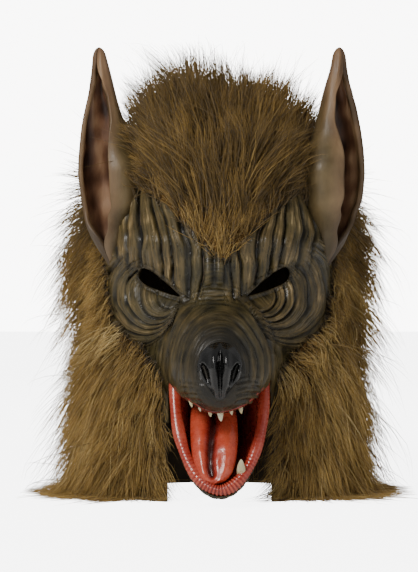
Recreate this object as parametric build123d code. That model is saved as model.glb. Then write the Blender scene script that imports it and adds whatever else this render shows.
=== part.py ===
"""Wolf-faced latex mask with glued fur panels, a flexing jaw, a tongue and two flexing ears.

Millimetres, +Z up.  The face looks along -Y, +X is the wearer's left.  The origin lies under
the middle of the mask, on the plane of its hem, so the mask stands on that plane.
"""
from build123d import *
import math
import os

os.makedirs("parts", exist_ok=True)

# ---- latex head -------------------------------------------------------------------------
SKIN = 2.5              # thickness of the cast latex
HEAD_Y = 11.0           # the head's own axis
DOME_Z = 170.0          # level where the head is widest and the dome begins
CROWN_Z = 275.0         # top of the latex
HEAD_WIDTH = 170.0
HEAD_DEPTH = 196.0
NECK_WIDTH = 160.0      # at NECK_Z, where the skirt is narrowest
NECK_DEPTH = 182.0
NECK_Z = 85.0
HEM_WIDTH = 168.0       # at the hem, z = 0
HEM_DEPTH = 176.0
FACE_BACK_Y = -10.0     # the seam between the face and the hood
CHEEK_Z = 62.0          # lower edge of the face casting
DOME_STEPS = (0, 15, 30, 45, 59, 72, 82, 88)    # degrees up the dome from its widest level
NECK_GAP = 76.0         # width of the gap in the skirt that the wearer's throat shows through

# ---- fur --------------------------------------------------------------------------------
FUR_Y = 26.0            # axis of the pile's outer surface
FUR_WIDTH = 228.0
FUR_DEPTH = 240.0
FUR_TOP_Z = 316.0
FUR_NECK_WIDTH = 244.0
FUR_NECK_DEPTH = 240.0
FUR_HEM_WIDTH = 268.0
FUR_HEM_DEPTH = 232.0
HAIRLINE_Z = 206.0      # underside of the crown panel
WEDGE_TIP = (2.0, 164.0)    # x, z of the lowest fur between the brows
PANEL_Z = 95.0          # joint between the cheek and the neck panels
BACK_Y = 58.0           # joint between the side panels and the back panel
FACE_HALF_WIDTH = 82.0  # bare latex, each side of the middle, beside the eyes
JOWL_Z = 128.0          # level where the fur starts to close in under the eye bags

# ---- eyes, muzzle and nose --------------------------------------------------------------
EYE_X = 38.0            # each side of EYES_MIDDLE_X
EYES_MIDDLE_X = -4.0    # the eye holes sit off centre
EYE_Z = 155.0
EYE_LENGTH = 36.0
EYE_HEIGHT = 11.0
EYE_SLANT = 33.0        # degrees, the inner corners are the lower ones
BROW_SIZE = (66.0, 38.0, 36.0)
BAG_SIZE = (62.0, 40.0, 36.0)
MUZZLE_SECTIONS = [     # y, middle z, half width, half height
    (-58.0, 110.0, 54.0, 46.0),
    (-92.0, 105.0, 44.0, 40.0),
    (-118.0, 99.0, 35.0, 33.0),
    (-133.0, 95.0, 25.0, 25.0),
    (-140.0, 93.0, 10.0, 11.0),
]
NOSE_CENTRE = (0.0, -136.0, 95.0)
NOSE_SIZE = (31.0, 20.0, 41.0)

# ---- mouth ------------------------------------------------------------------------------
MOUTH_Y = -84.0         # the mouth's corners
MOUTH_Z = 80.0
MOUTH_HALF_WIDTH = 31.0
MOUTH_TIP = (-116.0, 8.0)   # y, z of the lower lip's lowest point
JAW_DEPTH = 33.0        # how far the jaw bellies out behind the plane of the lips
JAW_GAP = 2.0           # room between the jaw and the face beside it
LINING = 2.0
LIP_WIDTH = 6.0
LIP_HEIGHT = 3.0
PALATE_START = (-80.0, 88.0)    # y, z of the palate's underside at the back and at the front
PALATE_END = (-132.0, 68.0)
PALATE_THICKNESS = 2.5
UPPER_TEETH = ((-20, 4.0), (-14, 5.0), (-7, 4.2), (0, 7.0), (7.5, 4.2), (14, 4.6))  # x, length
TOOTH_STOUTNESS = 0.42  # radius at the gum as a share of a tooth's length
TONGUE_X = -4.0         # the tongue hangs to the wearer's right
FANG_X = 14.5
FANG_FROM_TIP = 17.0    # along the jaw

# ---- ears -------------------------------------------------------------------------------
EAR_BASE = (79.0, -24.0, 186.0)     # on the wearer's left; the other one mirrors it
EAR_LEAN = 5.0          # degrees outward
EAR_TURN_LEFT = 62.0    # degrees from straight ahead towards the side
EAR_TURN_RIGHT = 34.0
EAR_SECTIONS = [        # height, half width, half depth
    (0.0, 19.0, 15.0),
    (30.0, 24.0, 19.0),
    (64.0, 23.0, 17.0),
    (95.0, 15.5, 12.0),
    (120.0, 8.0, 7.0),
    (136.5, 2.5, 3.0),
]
EAR_RIM_Y = -5.0        # the scoop is open in front of this plane
EAR_WALL = 3.0
EAR_FLOOR = 18.0        # the scoop starts this far above the ear's base
EAR_PIVOT = (80.0, 196.0)       # x, z; the axis runs fore and aft
EAR_RANGE = (-8.0, 15.0)        # degrees, positive is outward
EAR_CLEARANCE = 1.5

FAR = 400.0             # longer than anything here


def ellipsoid(width, depth, height):
    """A closed ellipsoid about the origin."""
    return scale(Sphere(1.0), by=(width / 2, depth / 2, height / 2))


def slab(x_range, y_range, z_range):
    """A box between two corners."""
    spans = [high - low for low, high in (x_range, y_range, z_range)]
    centre = [(low + high) / 2 for low, high in (x_range, y_range, z_range)]
    return Pos(*centre) * Box(*spans)


def eased(low, high, share):
    """A value between low and high that starts and ends level."""
    return low + (high - low) * (1 - math.cos(math.pi * share)) / 2


def dome(sizes, centre_y, top_z, grow=0.0):
    """A domed head form, lofted through ellipses from the hem to the crown.

    sizes holds (width, depth) at the hem, at NECK_Z and at DOME_Z; grow is added all round.
    """
    heights = (0.0, NECK_Z, DOME_Z)
    levels = []
    for lower, upper, z_low, z_high in zip(sizes, sizes[1:], heights, heights[1:]):
        for share in (0.0, 0.33, 0.67):
            width, depth = (eased(low, high, share) for low, high in zip(lower, upper))
            levels.append((width / 2, depth / 2, z_low + share * (z_high - z_low)))
    width, depth = sizes[-1]
    for degrees in DOME_STEPS:
        share = math.cos(math.radians(degrees))
        rise = (top_z + grow - DOME_Z) * math.sin(math.radians(degrees))
        levels.append((width / 2 * share, depth / 2 * share, DOME_Z + rise))
    rings = []
    for half_width, half_depth, z in levels:
        ring = Ellipse(max(half_width + grow, 1.0), max(half_depth + grow, 1.0))
        rings.append(Plane.XY.offset(z) * Pos(0, centre_y) * ring)
    return loft(rings)


def head_form(grow=0.0):
    sizes = [(HEM_WIDTH, HEM_DEPTH), (NECK_WIDTH, NECK_DEPTH), (HEAD_WIDTH, HEAD_DEPTH)]
    return dome(sizes, HEAD_Y, CROWN_Z, grow)


def fur_form():
    sizes = [(FUR_HEM_WIDTH, FUR_HEM_DEPTH), (FUR_NECK_WIDTH, FUR_NECK_DEPTH), (FUR_WIDTH, FUR_DEPTH)]
    return dome(sizes, FUR_Y, FUR_TOP_Z)


def muzzle_form(grow=0.0):
    """The muzzle as a loft of ellipses that runs forward out of the face."""
    rings = []
    for y, z, half_width, half_height in MUZZLE_SECTIONS:
        plane = Plane((0, y, z), x_dir=(1, 0, 0), z_dir=(0, -1, 0))
        rings.append(plane * Ellipse(half_width + grow, half_height + grow))
    return loft(rings)


def face_bulges(grow=0.0):
    """The brow ridges over the eyes and the bags under them."""
    bulges = None
    for side in (-1, 1):
        brow_form = ellipsoid(*[size + 2 * grow for size in BROW_SIZE])
        bag_form = ellipsoid(*[size + 2 * grow for size in BAG_SIZE])
        brow = Pos(side * 43, -62, 184) * Rot(0, side * 22, 0) * brow_form
        bag = Pos(side * 46, -62, 134) * Rot(0, side * -14, 0) * bag_form
        pair = brow + bag
        bulges = pair if bulges is None else bulges + pair
    return bulges


def eye_cutters():
    """Two slanted prisms through the face, one for each eye hole."""
    cutters = None
    for side in (-1, 1):
        plane = Plane((EYES_MIDDLE_X + side * EYE_X, -40, EYE_Z), x_dir=(1, 0, 0), z_dir=(0, -1, 0))
        outline = plane * Rot(0, 0, side * EYE_SLANT) * Ellipse(EYE_LENGTH / 2, EYE_HEIGHT / 2)
        hole = extrude(outline, 90)
        cutters = hole if cutters is None else cutters + hole
    return cutters


def palate_slab(thickness):
    """The space above the palate's underside, thickness deep."""
    run = PALATE_START[0] - PALATE_END[0]
    rise = PALATE_START[1] - PALATE_END[1]
    slope = math.degrees(math.atan2(rise, run))
    length = math.hypot(run, rise)
    middle_y = (PALATE_START[0] + PALATE_END[0]) / 2
    middle_z = (PALATE_START[1] + PALATE_END[1]) / 2
    plate = Pos(0, 0, thickness / 2) * Box(FAR, length + 60, thickness)
    return Pos(0, middle_y, middle_z) * Rot(slope, 0, 0) * plate


def mouth_bay():
    """The room that the jaw and the open mouth take out of the face."""
    half = MOUTH_HALF_WIDTH + SKIN + JAW_GAP
    column = slab((-half, half), (-FAR, -30), (-FAR, PALATE_START[1] + 20))
    return column - palate_slab(FAR)


def lip_plane():
    """The plane of the open mouth: local x across, local y down the jaw, local z backwards."""
    tip_y, tip_z = MOUTH_TIP
    down = Vector(0, tip_y - MOUTH_Y, tip_z - MOUTH_Z)
    across = Vector(1, 0, 0)
    return Plane((0, MOUTH_Y, MOUTH_Z), x_dir=(1, 0, 0), z_dir=across.cross(down))


def jaw_length():
    tip_y, tip_z = MOUTH_TIP
    return math.hypot(tip_y - MOUTH_Y, tip_z - MOUTH_Z)


def jaw_bowl(inset):
    """The trough of the jaw, solid, with its wall set in by inset."""
    bowl = ellipsoid(
        2 * (MOUTH_HALF_WIDTH + SKIN - inset), 2 * (jaw_length() - inset), 2 * (JAW_DEPTH - inset)
    )
    return bowl & slab((-FAR, FAR), (0, FAR), (-inset, FAR))


def make_face_skin(outer, inner):
    face = (outer - inner) & slab((-FAR, FAR), (-FAR, FACE_BACK_Y), (CHEEK_Z, FAR))
    palate = palate_slab(PALATE_THICKNESS) & slab((-FAR, FAR), (-FAR, MOUTH_Y + 4), (0, FAR))
    return face - mouth_bay() - eye_cutters() - palate


def make_hood_skin():
    shell = head_form() - head_form(-SKIN)
    shell = shell & slab((-FAR, FAR), (-FAR, FAR), (0, FAR))
    behind = shell & slab((-FAR, FAR), (FACE_BACK_Y, FAR), (0, FAR))
    below = shell & slab((-FAR, FAR), (-FAR, FACE_BACK_Y), (0, CHEEK_Z))
    gap = slab((-NECK_GAP / 2, NECK_GAP / 2), (-FAR, FACE_BACK_Y), (-1, CHEEK_Z + 1))
    return behind + (below - gap)


def make_palate(outer):
    palate = outer & palate_slab(PALATE_THICKNESS)
    return palate & slab((-FAR, FAR), (-FAR, MOUTH_Y + 4), (0, FAR))


def make_upper_teeth():
    """Six small pointed teeth under the front edge of the palate, the middle one the largest."""
    slope = (PALATE_START[1] - PALATE_END[1]) / (PALATE_START[0] - PALATE_END[0])
    teeth = None
    for x, length in UPPER_TEETH:
        y = PALATE_END[0] + 3.5 + 0.018 * x * x
        gum_z = PALATE_END[1] + (y - PALATE_END[0]) * slope
        cone = Cone(0.5, TOOTH_STOUTNESS * length, length + 2, align=(Align.CENTER, Align.CENTER, Align.MIN))
        tooth = Pos(x, y, gum_z - length) * cone - palate_slab(FAR)
        teeth = tooth if teeth is None else teeth + tooth
    return teeth


def make_nose(outer):
    pad = Pos(*NOSE_CENTRE) * ellipsoid(*NOSE_SIZE)
    for side in (-1, 1):
        x, y, z = NOSE_CENTRE
        nostril = Pos(side * 7.0, y - 8, z - 3) * Rot(0, side * 20, 0) * ellipsoid(5.5, 12, 15)
        pad = pad - nostril
    return pad - outer


def make_jaw_skin():
    return lip_plane() * (jaw_bowl(0) - jaw_bowl(SKIN))


def make_jaw_lining():
    """Red lining of the jaw, with the lower lip rolled over its rim."""
    inset = SKIN
    wall = jaw_bowl(inset) - jaw_bowl(inset + LINING)
    outer_lip = Ellipse(MOUTH_HALF_WIDTH + SKIN - 0.5, jaw_length() - 0.5)
    inner_lip = Ellipse(MOUTH_HALF_WIDTH + SKIN - LIP_WIDTH, jaw_length() - LIP_WIDTH)
    lip = extrude(outer_lip - inner_lip, -LIP_HEIGHT)
    lip = lip & slab((-FAR, FAR), (3, FAR), (-LIP_HEIGHT, 0))
    wall = wall & slab((-FAR, FAR), (3, FAR), (-FAR, FAR))
    return lip_plane() * (wall + lip)


def make_lower_fang(lining):
    """One long fang that stands up from the lower lip on the wearer's left."""
    cone = Cone(2.8, 0.5, 11.0, align=(Align.CENTER, Align.CENTER, Align.MIN))
    base = lip_plane().from_local_coords(Vector(FANG_X, jaw_length() - FANG_FROM_TIP, -LIP_HEIGHT))
    return Pos(base.X, base.Y, base.Z) * Rot(28, 0, 0) * cone - lining


def tongue_stations():
    """Distance down the jaw, depth behind the lips, half width and half thickness."""
    return [(15, 16, 9, 4), (24, 8, 13, 4.5), (36, 3.5, 15, 4.5), (50, 1, 14, 4.5), (60, 0.5, 8.5, 3)]


def make_tongue():
    stations = tongue_stations()
    rings = []
    for index, (along, depth, half_width, half_thickness) in enumerate(stations):
        before = stations[max(index - 1, 0)]
        after = stations[min(index + 1, len(stations) - 1)]
        heading = (0, after[0] - before[0], after[1] - before[1])
        plane = Plane((TONGUE_X, along, depth), x_dir=(1, 0, 0), z_dir=heading)
        rings.append(plane * Ellipse(half_width, half_thickness))
    body = loft(rings)
    groove = Pos(TONGUE_X, 42, -4.5) * ellipsoid(3, 40, 6)
    return lip_plane() * (body - groove)


def ear_loft(inset, floor, shift):
    """A stack of ellipses up the ear, from floor, each inset and shifted along -Y."""
    rings = []
    for height, half_width, half_depth in EAR_SECTIONS:
        ring = Ellipse(max(half_width - inset, 0.8), max(half_depth - inset, 0.8))
        level = max(height - inset if height > floor else floor, floor)
        rings.append(Plane.XY.offset(level) * Pos(0, -shift) * ring)
    return loft(rings)


def place_ear(shape, side, turn):
    x, y, z = EAR_BASE
    return Pos(side * x, y, z) * Rot(0, side * EAR_LEAN, 0) * Rot(0, 0, side * turn) * shape


def turn_about_ear_pivot(shape, side, degrees):
    """Swings a shape outward about the ear's pivot."""
    x, z = EAR_PIVOT
    return Pos(side * x, 0, z) * Rot(0, side * degrees, 0) * Pos(-side * x, 0, -z) * shape


def make_ear(side, turn):
    """A tall pointed scoop, trimmed so that it clears the head over the whole flex."""
    scoop = ear_loft(0, 0, 0) - ear_loft(EAR_WALL, EAR_FLOOR, 2.5)
    scoop = scoop & slab((-FAR, FAR), (EAR_RIM_Y, FAR), (-1, FAR))
    ear = place_ear(scoop, side, turn)
    head = head_form(EAR_CLEARANCE) + face_bulges(EAR_CLEARANCE)
    for degrees in (EAR_RANGE[0], 0, EAR_RANGE[1]):
        ear = ear - turn_about_ear_pivot(head, side, -degrees)
    return ear


def front_prism(corners, back_y, depth):
    """A prism with the given front-view outline, from back_y forward by depth."""
    plane = Plane((0, back_y, 0), x_dir=(1, 0, 0), z_dir=(0, -1, 0))
    return extrude(plane * Polygon(*corners, align=None), depth, dir=(0, -1, 0))


def ear_room():
    """The fan-shaped spaces that the fur leaves for both ears to flex in."""
    room = None
    for side in (-1, 1):
        corners = [(48, 188), (60, 176), (112, 176), (170, 345), (30, 345), (40, 250)]
        fan = front_prism([(side * x, z) for x, z in corners], 8, 68)
        room = fan if room is None else room + fan
    return room


def face_window():
    """The bare face and throat, seen from the front, as a prism forward of the head's axis."""
    half = NECK_GAP / 2
    corners = [(half, -5), (half, MOUTH_Z), (FACE_HALF_WIDTH, JOWL_Z), (FACE_HALF_WIDTH, HAIRLINE_Z + 1)]
    return front_prism(corners + [(-x, z) for x, z in reversed(corners)], HEAD_Y, 200)


def make_fur(outer):
    """Every fur panel, by node name."""
    pile = fur_form() - outer
    ears = ear_room()
    crown = (pile & slab((-FAR, FAR), (-FAR, FAR), (HAIRLINE_Z, FAR))) - ears
    wedge = front_prism([(-50, HAIRLINE_Z), WEDGE_TIP, (50, HAIRLINE_Z)], -40, 90)
    sides = (pile & slab((-FAR, FAR), (-FAR, BACK_Y), (0, HAIRLINE_Z))) - face_window() - ears
    panels = {
        "crown_fur": crown,
        "brow_fur": pile & wedge,
        "back_fur": pile & slab((-FAR, FAR), (BACK_Y, FAR), (0, HAIRLINE_Z)),
    }
    for name, x_range in (("left", (0, FAR)), ("right", (-FAR, 0))):
        side = sides & slab(x_range, (-FAR, FAR), (0, HAIRLINE_Z))
        panels["cheek_fur_" + name] = side & slab((-FAR, FAR), (-FAR, FAR), (PANEL_Z, FAR))
        panels["neck_fur_" + name] = side & slab((-FAR, FAR), (-FAR, FAR), (0, PANEL_Z))
    return panels


outer_face = head_form() + muzzle_form() + face_bulges()
inner_face = head_form(-SKIN) + muzzle_form(-SKIN)
jaw_lining = make_jaw_lining()

nodes = {
    "face_skin": make_face_skin(outer_face, inner_face),
    "hood_skin": make_hood_skin(),
    "palate_lining": make_palate(outer_face),
    "upper_teeth": make_upper_teeth(),
    "nose_pad": make_nose(outer_face),
    "jaw_skin": make_jaw_skin(),
    "jaw_lining": jaw_lining,
    "lower_fang": make_lower_fang(jaw_lining),
    "tongue": make_tongue(),
    "ear_left": make_ear(1, EAR_TURN_LEFT),
    "ear_right": make_ear(-1, EAR_TURN_RIGHT),
}
nodes.update(make_fur(outer_face))

for name, shape in nodes.items():
    export_step(shape, "parts/" + name + ".step")
    box = shape.bounding_box()
    print(
        f"{name:15s} solids {len(shape.solids())} volume {shape.volume:9.0f}"
        f" x {box.min.X:7.1f} {box.max.X:7.1f} y {box.min.Y:7.1f} {box.max.Y:7.1f}"
        f" z {box.min.Z:7.1f} {box.max.Z:7.1f}"
    )
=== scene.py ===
"""Looks of the wolf-faced latex mask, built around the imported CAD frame.

Lengths inside the script are in millimetres, as in the CAD; meshes are scaled to metres as they
are made.  +Z is up, the face looks along -Y and +X is the wearer's left.
"""
import bpy
import math
import numpy as np
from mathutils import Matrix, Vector
from mathutils.kdtree import KDTree


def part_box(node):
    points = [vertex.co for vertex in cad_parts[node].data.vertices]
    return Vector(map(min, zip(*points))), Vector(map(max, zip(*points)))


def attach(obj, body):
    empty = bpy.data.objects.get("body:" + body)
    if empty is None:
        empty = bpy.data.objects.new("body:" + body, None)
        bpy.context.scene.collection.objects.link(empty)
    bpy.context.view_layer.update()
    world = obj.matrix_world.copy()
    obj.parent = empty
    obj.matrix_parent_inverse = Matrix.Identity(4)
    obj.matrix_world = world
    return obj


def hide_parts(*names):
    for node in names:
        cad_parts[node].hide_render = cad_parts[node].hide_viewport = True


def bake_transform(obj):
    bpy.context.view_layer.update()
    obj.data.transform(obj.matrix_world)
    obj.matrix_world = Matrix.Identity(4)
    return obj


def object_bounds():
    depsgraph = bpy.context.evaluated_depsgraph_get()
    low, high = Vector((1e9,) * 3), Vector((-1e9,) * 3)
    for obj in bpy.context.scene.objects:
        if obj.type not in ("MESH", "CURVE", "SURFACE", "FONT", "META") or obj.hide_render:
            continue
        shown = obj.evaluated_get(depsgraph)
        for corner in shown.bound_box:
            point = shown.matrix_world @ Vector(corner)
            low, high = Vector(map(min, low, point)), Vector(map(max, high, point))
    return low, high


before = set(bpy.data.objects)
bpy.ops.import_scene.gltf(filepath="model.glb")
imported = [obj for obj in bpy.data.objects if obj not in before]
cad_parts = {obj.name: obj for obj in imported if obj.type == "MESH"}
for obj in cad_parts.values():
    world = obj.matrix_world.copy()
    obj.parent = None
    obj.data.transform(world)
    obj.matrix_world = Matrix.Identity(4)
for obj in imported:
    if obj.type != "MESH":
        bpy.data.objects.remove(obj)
cad_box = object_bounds()

MM = 0.001


def box_mm(node):
    """Lowest and highest corner of a CAD node, in millimetres."""
    low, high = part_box(node)
    return np.array(low) / MM, np.array(high) / MM


# ---- driving dimensions, from the frame --------------------------------------------------
HOOD_HIGH = box_mm("hood_skin")[1]
NOSE_LOW, NOSE_HIGH = box_mm("nose_pad")
JAW_LOW, JAW_HIGH = box_mm("jaw_skin")
FANG_LOW, FANG_HIGH = box_mm("lower_fang")
BROW_FUR_LOW = box_mm("brow_fur")[0]
BACK_Y = box_mm("back_fur")[0][1]               # where the back panel begins
PANEL_Z = box_mm("cheek_fur_left")[0][2]        # where the neck panels meet the cheek panels
HAIRLINE_Z = box_mm("crown_fur")[0][2]          # where the crown panel begins

CROWN_Z = HOOD_HIGH[2]
HEAD_HALF_WIDTH = HOOD_HIGH[0]
HEAD_HALF_DEPTH = 98.0
HEAD_Y = HOOD_HIGH[1] - HEAD_HALF_DEPTH
DOME_Z = 170.0
NECK_Z = 85.0
NECK_SHRINK = (5.0, 7.0)        # narrower at the neck, each side, in width and in depth
HEM_SHRINK = (1.0, 10.0)
SKIN = 2.5
NECK_GAP = 38.0                 # half width of the gap over the throat
EYE_CENTRES = ((-42.0, 155.0), (34.0, 155.5))
EYES_MIDDLE_X = -4.0
EYE_HALF_LENGTH = 17.5
EYE_HALF_HEIGHT = 6.3
EYE_SLANT = math.radians(33)
LIP_Z = 65.0                    # lowest point of the upper lip
LIP_RISE = 0.0165               # the lip's edge climbs by this times x squared
MOUTH_HALF_WIDTH = 33.5
HAIR_TIP = (2.0, BROW_FUR_LOW[2])       # x, z of the wedge between the brows
NOSE_MID = (NOSE_LOW + NOSE_HIGH) / 2
rng = np.random.default_rng(7)


# ---- small maths -------------------------------------------------------------------------
def smooth(low, high, value):
    """0 below low, 1 above high, eased between; low may be the larger one."""
    share = np.clip((value - low) / (high - low), 0, 1)
    return share * share * (3 - 2 * share)


def eased(low, high, share):
    return low + (high - low) * (1 - np.cos(np.pi * np.clip(share, 0, 1))) / 2


def bump(x, z, centre, spread):
    """A soft round bump of height 1."""
    return np.exp(-((x - centre[0]) / spread[0]) ** 2 - ((z - centre[1]) / spread[1]) ** 2)


def wobble(x, z, scale, seed=0.0):
    """Slow, irregular waves between about -1 and 1."""
    u, v = x / scale, z / scale
    waves = np.sin(1.0 * u + 0.7 * v + seed) + np.sin(-0.8 * u + 1.3 * v + 2.1 * seed + 1)
    waves = waves + np.sin(1.9 * u - 0.4 * v + 0.7 * seed + 2) + np.sin(0.5 * u + 2.2 * v - seed)
    return waves / 4


def uneven(phase, least, seed=0.0):
    """A steady share for each fold, between least and 1, so that neighbours differ."""
    index = np.round(phase / (2 * np.pi) - 0.5)
    return least + (1 - least) * (0.5 + 0.5 * np.sin(index * 12.99 + 78.2 * seed))


def folds(phase, sharpness=4.0, skew=0.0):
    """Rounded ridges (towards 0.4) between narrow creases (down to -1); skew makes them lean."""
    phase = phase + skew * np.sin(phase + 0.6)
    crease = (0.5 + 0.5 * np.cos(phase)) ** sharpness
    return 0.4 * (0.5 - 0.5 * np.cos(phase)) - crease


def fading(phase, along, least, seed=0.0):
    """A share between least and 1 that comes and goes along each fold, at its own places."""
    index = np.round(phase / (2 * np.pi) - 0.5)
    return least + (1 - least) * (0.5 + 0.5 * np.sin(along + index * 2.4 + seed))


def smooth_max(a, b, radius):
    return 0.5 * (a + b + np.sqrt((a - b) ** 2 + radius ** 2))


# ---- meshes ------------------------------------------------------------------------------
def new_mesh(name, points, faces, materials, slots=None, attributes=None, smooth_shade=True):
    """An object from points in mm (n, 3) and equally long faces (m, 3 or 4)."""
    faces = np.asarray(faces, dtype=np.int32)
    count, corners = faces.shape
    mesh = bpy.data.meshes.new(name)
    mesh.vertices.add(len(points))
    mesh.vertices.foreach_set("co", (np.asarray(points, dtype=np.float32) * MM).ravel())
    mesh.loops.add(count * corners)
    mesh.loops.foreach_set("vertex_index", faces.ravel())
    mesh.polygons.add(count)
    mesh.polygons.foreach_set("loop_start", np.arange(0, count * corners, corners, dtype=np.int32))
    mesh.polygons.foreach_set("loop_total", np.full(count, corners, dtype=np.int32))
    for material in materials:
        mesh.materials.append(material)
    if slots is not None:
        mesh.polygons.foreach_set("material_index", np.asarray(slots, dtype=np.int32))
    mesh.polygons.foreach_set("use_smooth", np.full(count, smooth_shade))
    for key, values in (attributes or {}).items():
        layer = mesh.attributes.new(key, "FLOAT", "POINT")
        layer.data.foreach_set("value", np.asarray(values, dtype=np.float32))
    mesh.update(calc_edges=True)
    mesh.validate()
    piece = bpy.data.objects.new(name, mesh)
    bpy.context.scene.collection.objects.link(piece)
    return piece


def grid_faces(rows, columns, close_columns=False):
    """Quads of a grid of points that is stored row by row."""
    last = columns if close_columns else columns - 1
    i, j = np.meshgrid(np.arange(rows - 1), np.arange(last), indexing="ij")
    k = (j + 1) % columns
    quads = np.stack([i * columns + j, i * columns + k, (i + 1) * columns + k, (i + 1) * columns + j], -1)
    return quads.reshape(-1, 4)


def point_normals(points, faces):
    """Unit normals at the points, averaged over the faces that meet there."""
    corner = points[faces]
    normal = np.cross(corner[:, 2] - corner[:, 0], corner[:, -1] - corner[:, 1])
    if faces.shape[1] == 3:
        normal = np.cross(corner[:, 1] - corner[:, 0], corner[:, 2] - corner[:, 0])
    total = np.zeros_like(points)
    for column in range(faces.shape[1]):
        np.add.at(total, faces[:, column], normal)
    length = np.linalg.norm(total, axis=1, keepdims=True)
    return total / np.maximum(length, 1e-9)


def triangles(quads):
    return np.concatenate([quads[:, [0, 1, 2]], quads[:, [0, 2, 3]]])


def clip_triangles(points, faces, keep):
    """Cuts triangles along the line where keep is zero and drops the negative side.

    points may have any number of columns: they are interpolated along the cut edges.
    """
    inside = keep > 0
    count = inside[faces].sum(axis=1)
    whole = faces[count == 3]
    new_points, made, cut_faces = [], {}, []

    def crossing(a, b):
        key = (min(a, b), max(a, b))
        if key not in made:
            share = keep[a] / (keep[a] - keep[b])
            made[key] = len(points) + len(new_points)
            new_points.append(points[a] + (points[b] - points[a]) * share)
        return made[key]

    for face in faces[(count == 1) | (count == 2)]:
        ring = []
        for a, b in zip(face, np.roll(face, -1)):
            if inside[a]:
                ring.append(a)
            if inside[a] != inside[b]:
                ring.append(crossing(a, b))
        for index in range(1, len(ring) - 1):
            cut_faces.append((ring[0], ring[index], ring[index + 1]))
    everything = np.vstack([points, np.array(new_points)]) if new_points else points
    kept = np.vstack([whole, np.array(cut_faces, dtype=int)]) if cut_faces else whole
    used = np.unique(kept)
    renumber = np.full(len(everything), -1)
    renumber[used] = np.arange(len(used))
    return everything[used], renumber[kept]


def open_edges(faces):
    """Directed edges that only one face has."""
    columns = faces.shape[1]
    edges = np.vstack([faces[:, [k, (k + 1) % columns]] for k in range(columns)])
    top = int(edges.max()) + 1
    forward = edges[:, 0].astype(np.int64) * top + edges[:, 1]
    backward = edges[:, 1].astype(np.int64) * top + edges[:, 0]
    return edges[~np.isin(forward, backward)]


def closed_shell(outer, inner, faces):
    """Points and faces of a shell between two sheets that share the same faces."""
    count = len(outer)
    rim = open_edges(faces)
    points = np.vstack([outer, inner])
    if faces.shape[1] == 3:
        sides = np.vstack([
            np.stack([rim[:, 1], rim[:, 0], rim[:, 0] + count], -1),
            np.stack([rim[:, 1], rim[:, 0] + count, rim[:, 1] + count], -1),
        ])
    else:
        sides = np.stack([rim[:, 1], rim[:, 0], rim[:, 0] + count, rim[:, 1] + count], -1)
    return points, np.vstack([faces, faces[:, ::-1] + count, sides])


# ---- the form of the head ----------------------------------------------------------------
def head_section(z):
    """Half width and half depth of the plain head at height z."""
    dome = np.sqrt(np.clip(1 - ((z - DOME_Z) / (CROWN_Z - DOME_Z)) ** 2, 1e-6, 1))
    upper = np.clip((z - NECK_Z) / (DOME_Z - NECK_Z), 0, 1)
    lower = np.clip(z / NECK_Z, 0, 1)
    sizes = []
    for full, neck, hem in zip((HEAD_HALF_WIDTH, HEAD_HALF_DEPTH), NECK_SHRINK, HEM_SHRINK):
        skirt = eased(full - hem, full - neck, lower)
        trunk = eased(full - neck, full, upper)
        sizes.append(np.where(z > DOME_Z, full * dome, np.where(z > NECK_Z, trunk, skirt)))
    return sizes


MUZZLE = np.array([     # y, middle z, half width, half height; wide at the back, narrow in front
    (10.0, 128.0, 92.0, 92.0),
    (-30.0, 118.0, 68.0, 68.0),
    (-62.0, 110.0, 49.0, 50.0),
    (-88.0, 104.0, 39.5, 42.0),
    (-110.0, 99.0, 33.5, 36.0),
    (-124.0, 96.0, 26.0, 29.5),
    (-132.0, 94.0, 20.0, 24.0),
    (-137.0, 93.0, 14.0, 18.0),
    (-139.5, 93.0, 7.0, 9.5),
    (-140.0, 93.0, 0.5, 0.5),
])


def muzzle_y(x, z):
    """The muzzle's surface, as the y that its nested ellipses reach at (x, z)."""
    stations = np.linspace(0, 1, len(MUZZLE))
    low = np.zeros_like(x)
    high = np.ones_like(x)
    for _ in range(22):
        middle = (low + high) / 2
        centre = np.interp(middle, stations, MUZZLE[:, 1])
        width = np.interp(middle, stations, MUZZLE[:, 2])
        height = np.interp(middle, stations, MUZZLE[:, 3])
        inside = (x / width) ** 2 + ((z - centre) / height) ** 2 < 1
        low = np.where(inside, middle, low)
        high = np.where(inside, high, middle)
    return np.interp(low, stations, MUZZLE[:, 0])


def eye_local(x, z, side):
    """Coordinates along and across one eye hole; the first grows towards the outer corner."""
    centre = EYE_CENTRES[0] if side < 0 else EYE_CENTRES[1]
    across, up = side * (x - centre[0]), z - centre[1]
    along = across * math.cos(EYE_SLANT) + up * math.sin(EYE_SLANT)
    over = up * math.cos(EYE_SLANT) - across * math.sin(EYE_SLANT)
    return along, over


def eye_opening(x, z, side):
    """Positive outside the almond of the eye hole, zero on its edge."""
    along, over = eye_local(x, z, side)
    share = (along / EYE_HALF_LENGTH + 1) / 2
    inside = np.clip(share, 0, 1)
    half = 1.45 * EYE_HALF_HEIGHT * inside ** 0.8 * np.sqrt(1 - inside ** 6)
    half = np.where(over > 0, half * 0.55, half)
    return np.maximum(np.abs(over) - half, (np.abs(along) - EYE_HALF_LENGTH) * 0.5)


EYE_CORNER = (24.0, 146.0)      # inner corner of an eye: distance from the middle, height


def bag_ring(x, z, side):
    """Size of the oval through the eye's inner corner that passes this point, and its angle there."""
    across = (side * (x - EYES_MIDDLE_X) - EYE_CORNER[0]) * 1.12
    up = z - EYE_CORNER[1]
    angle = np.arctan2(up, across)
    return np.hypot(across, up) / np.maximum(np.cos(angle - 0.06), 0.05), angle


BROW_POLES = ((27.0, 120.0), (50.0, 238.0))     # distance from the middle and height of both ends
BROW_PITCH = 10.4       # from one thick brow fold to the next
BROW_DEPTH = 3.9
BAG_PITCH = 10.6
BAG_DEPTH = 3.3
FINE_PITCH = 2.1        # of the engraved lines along the folds


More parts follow.
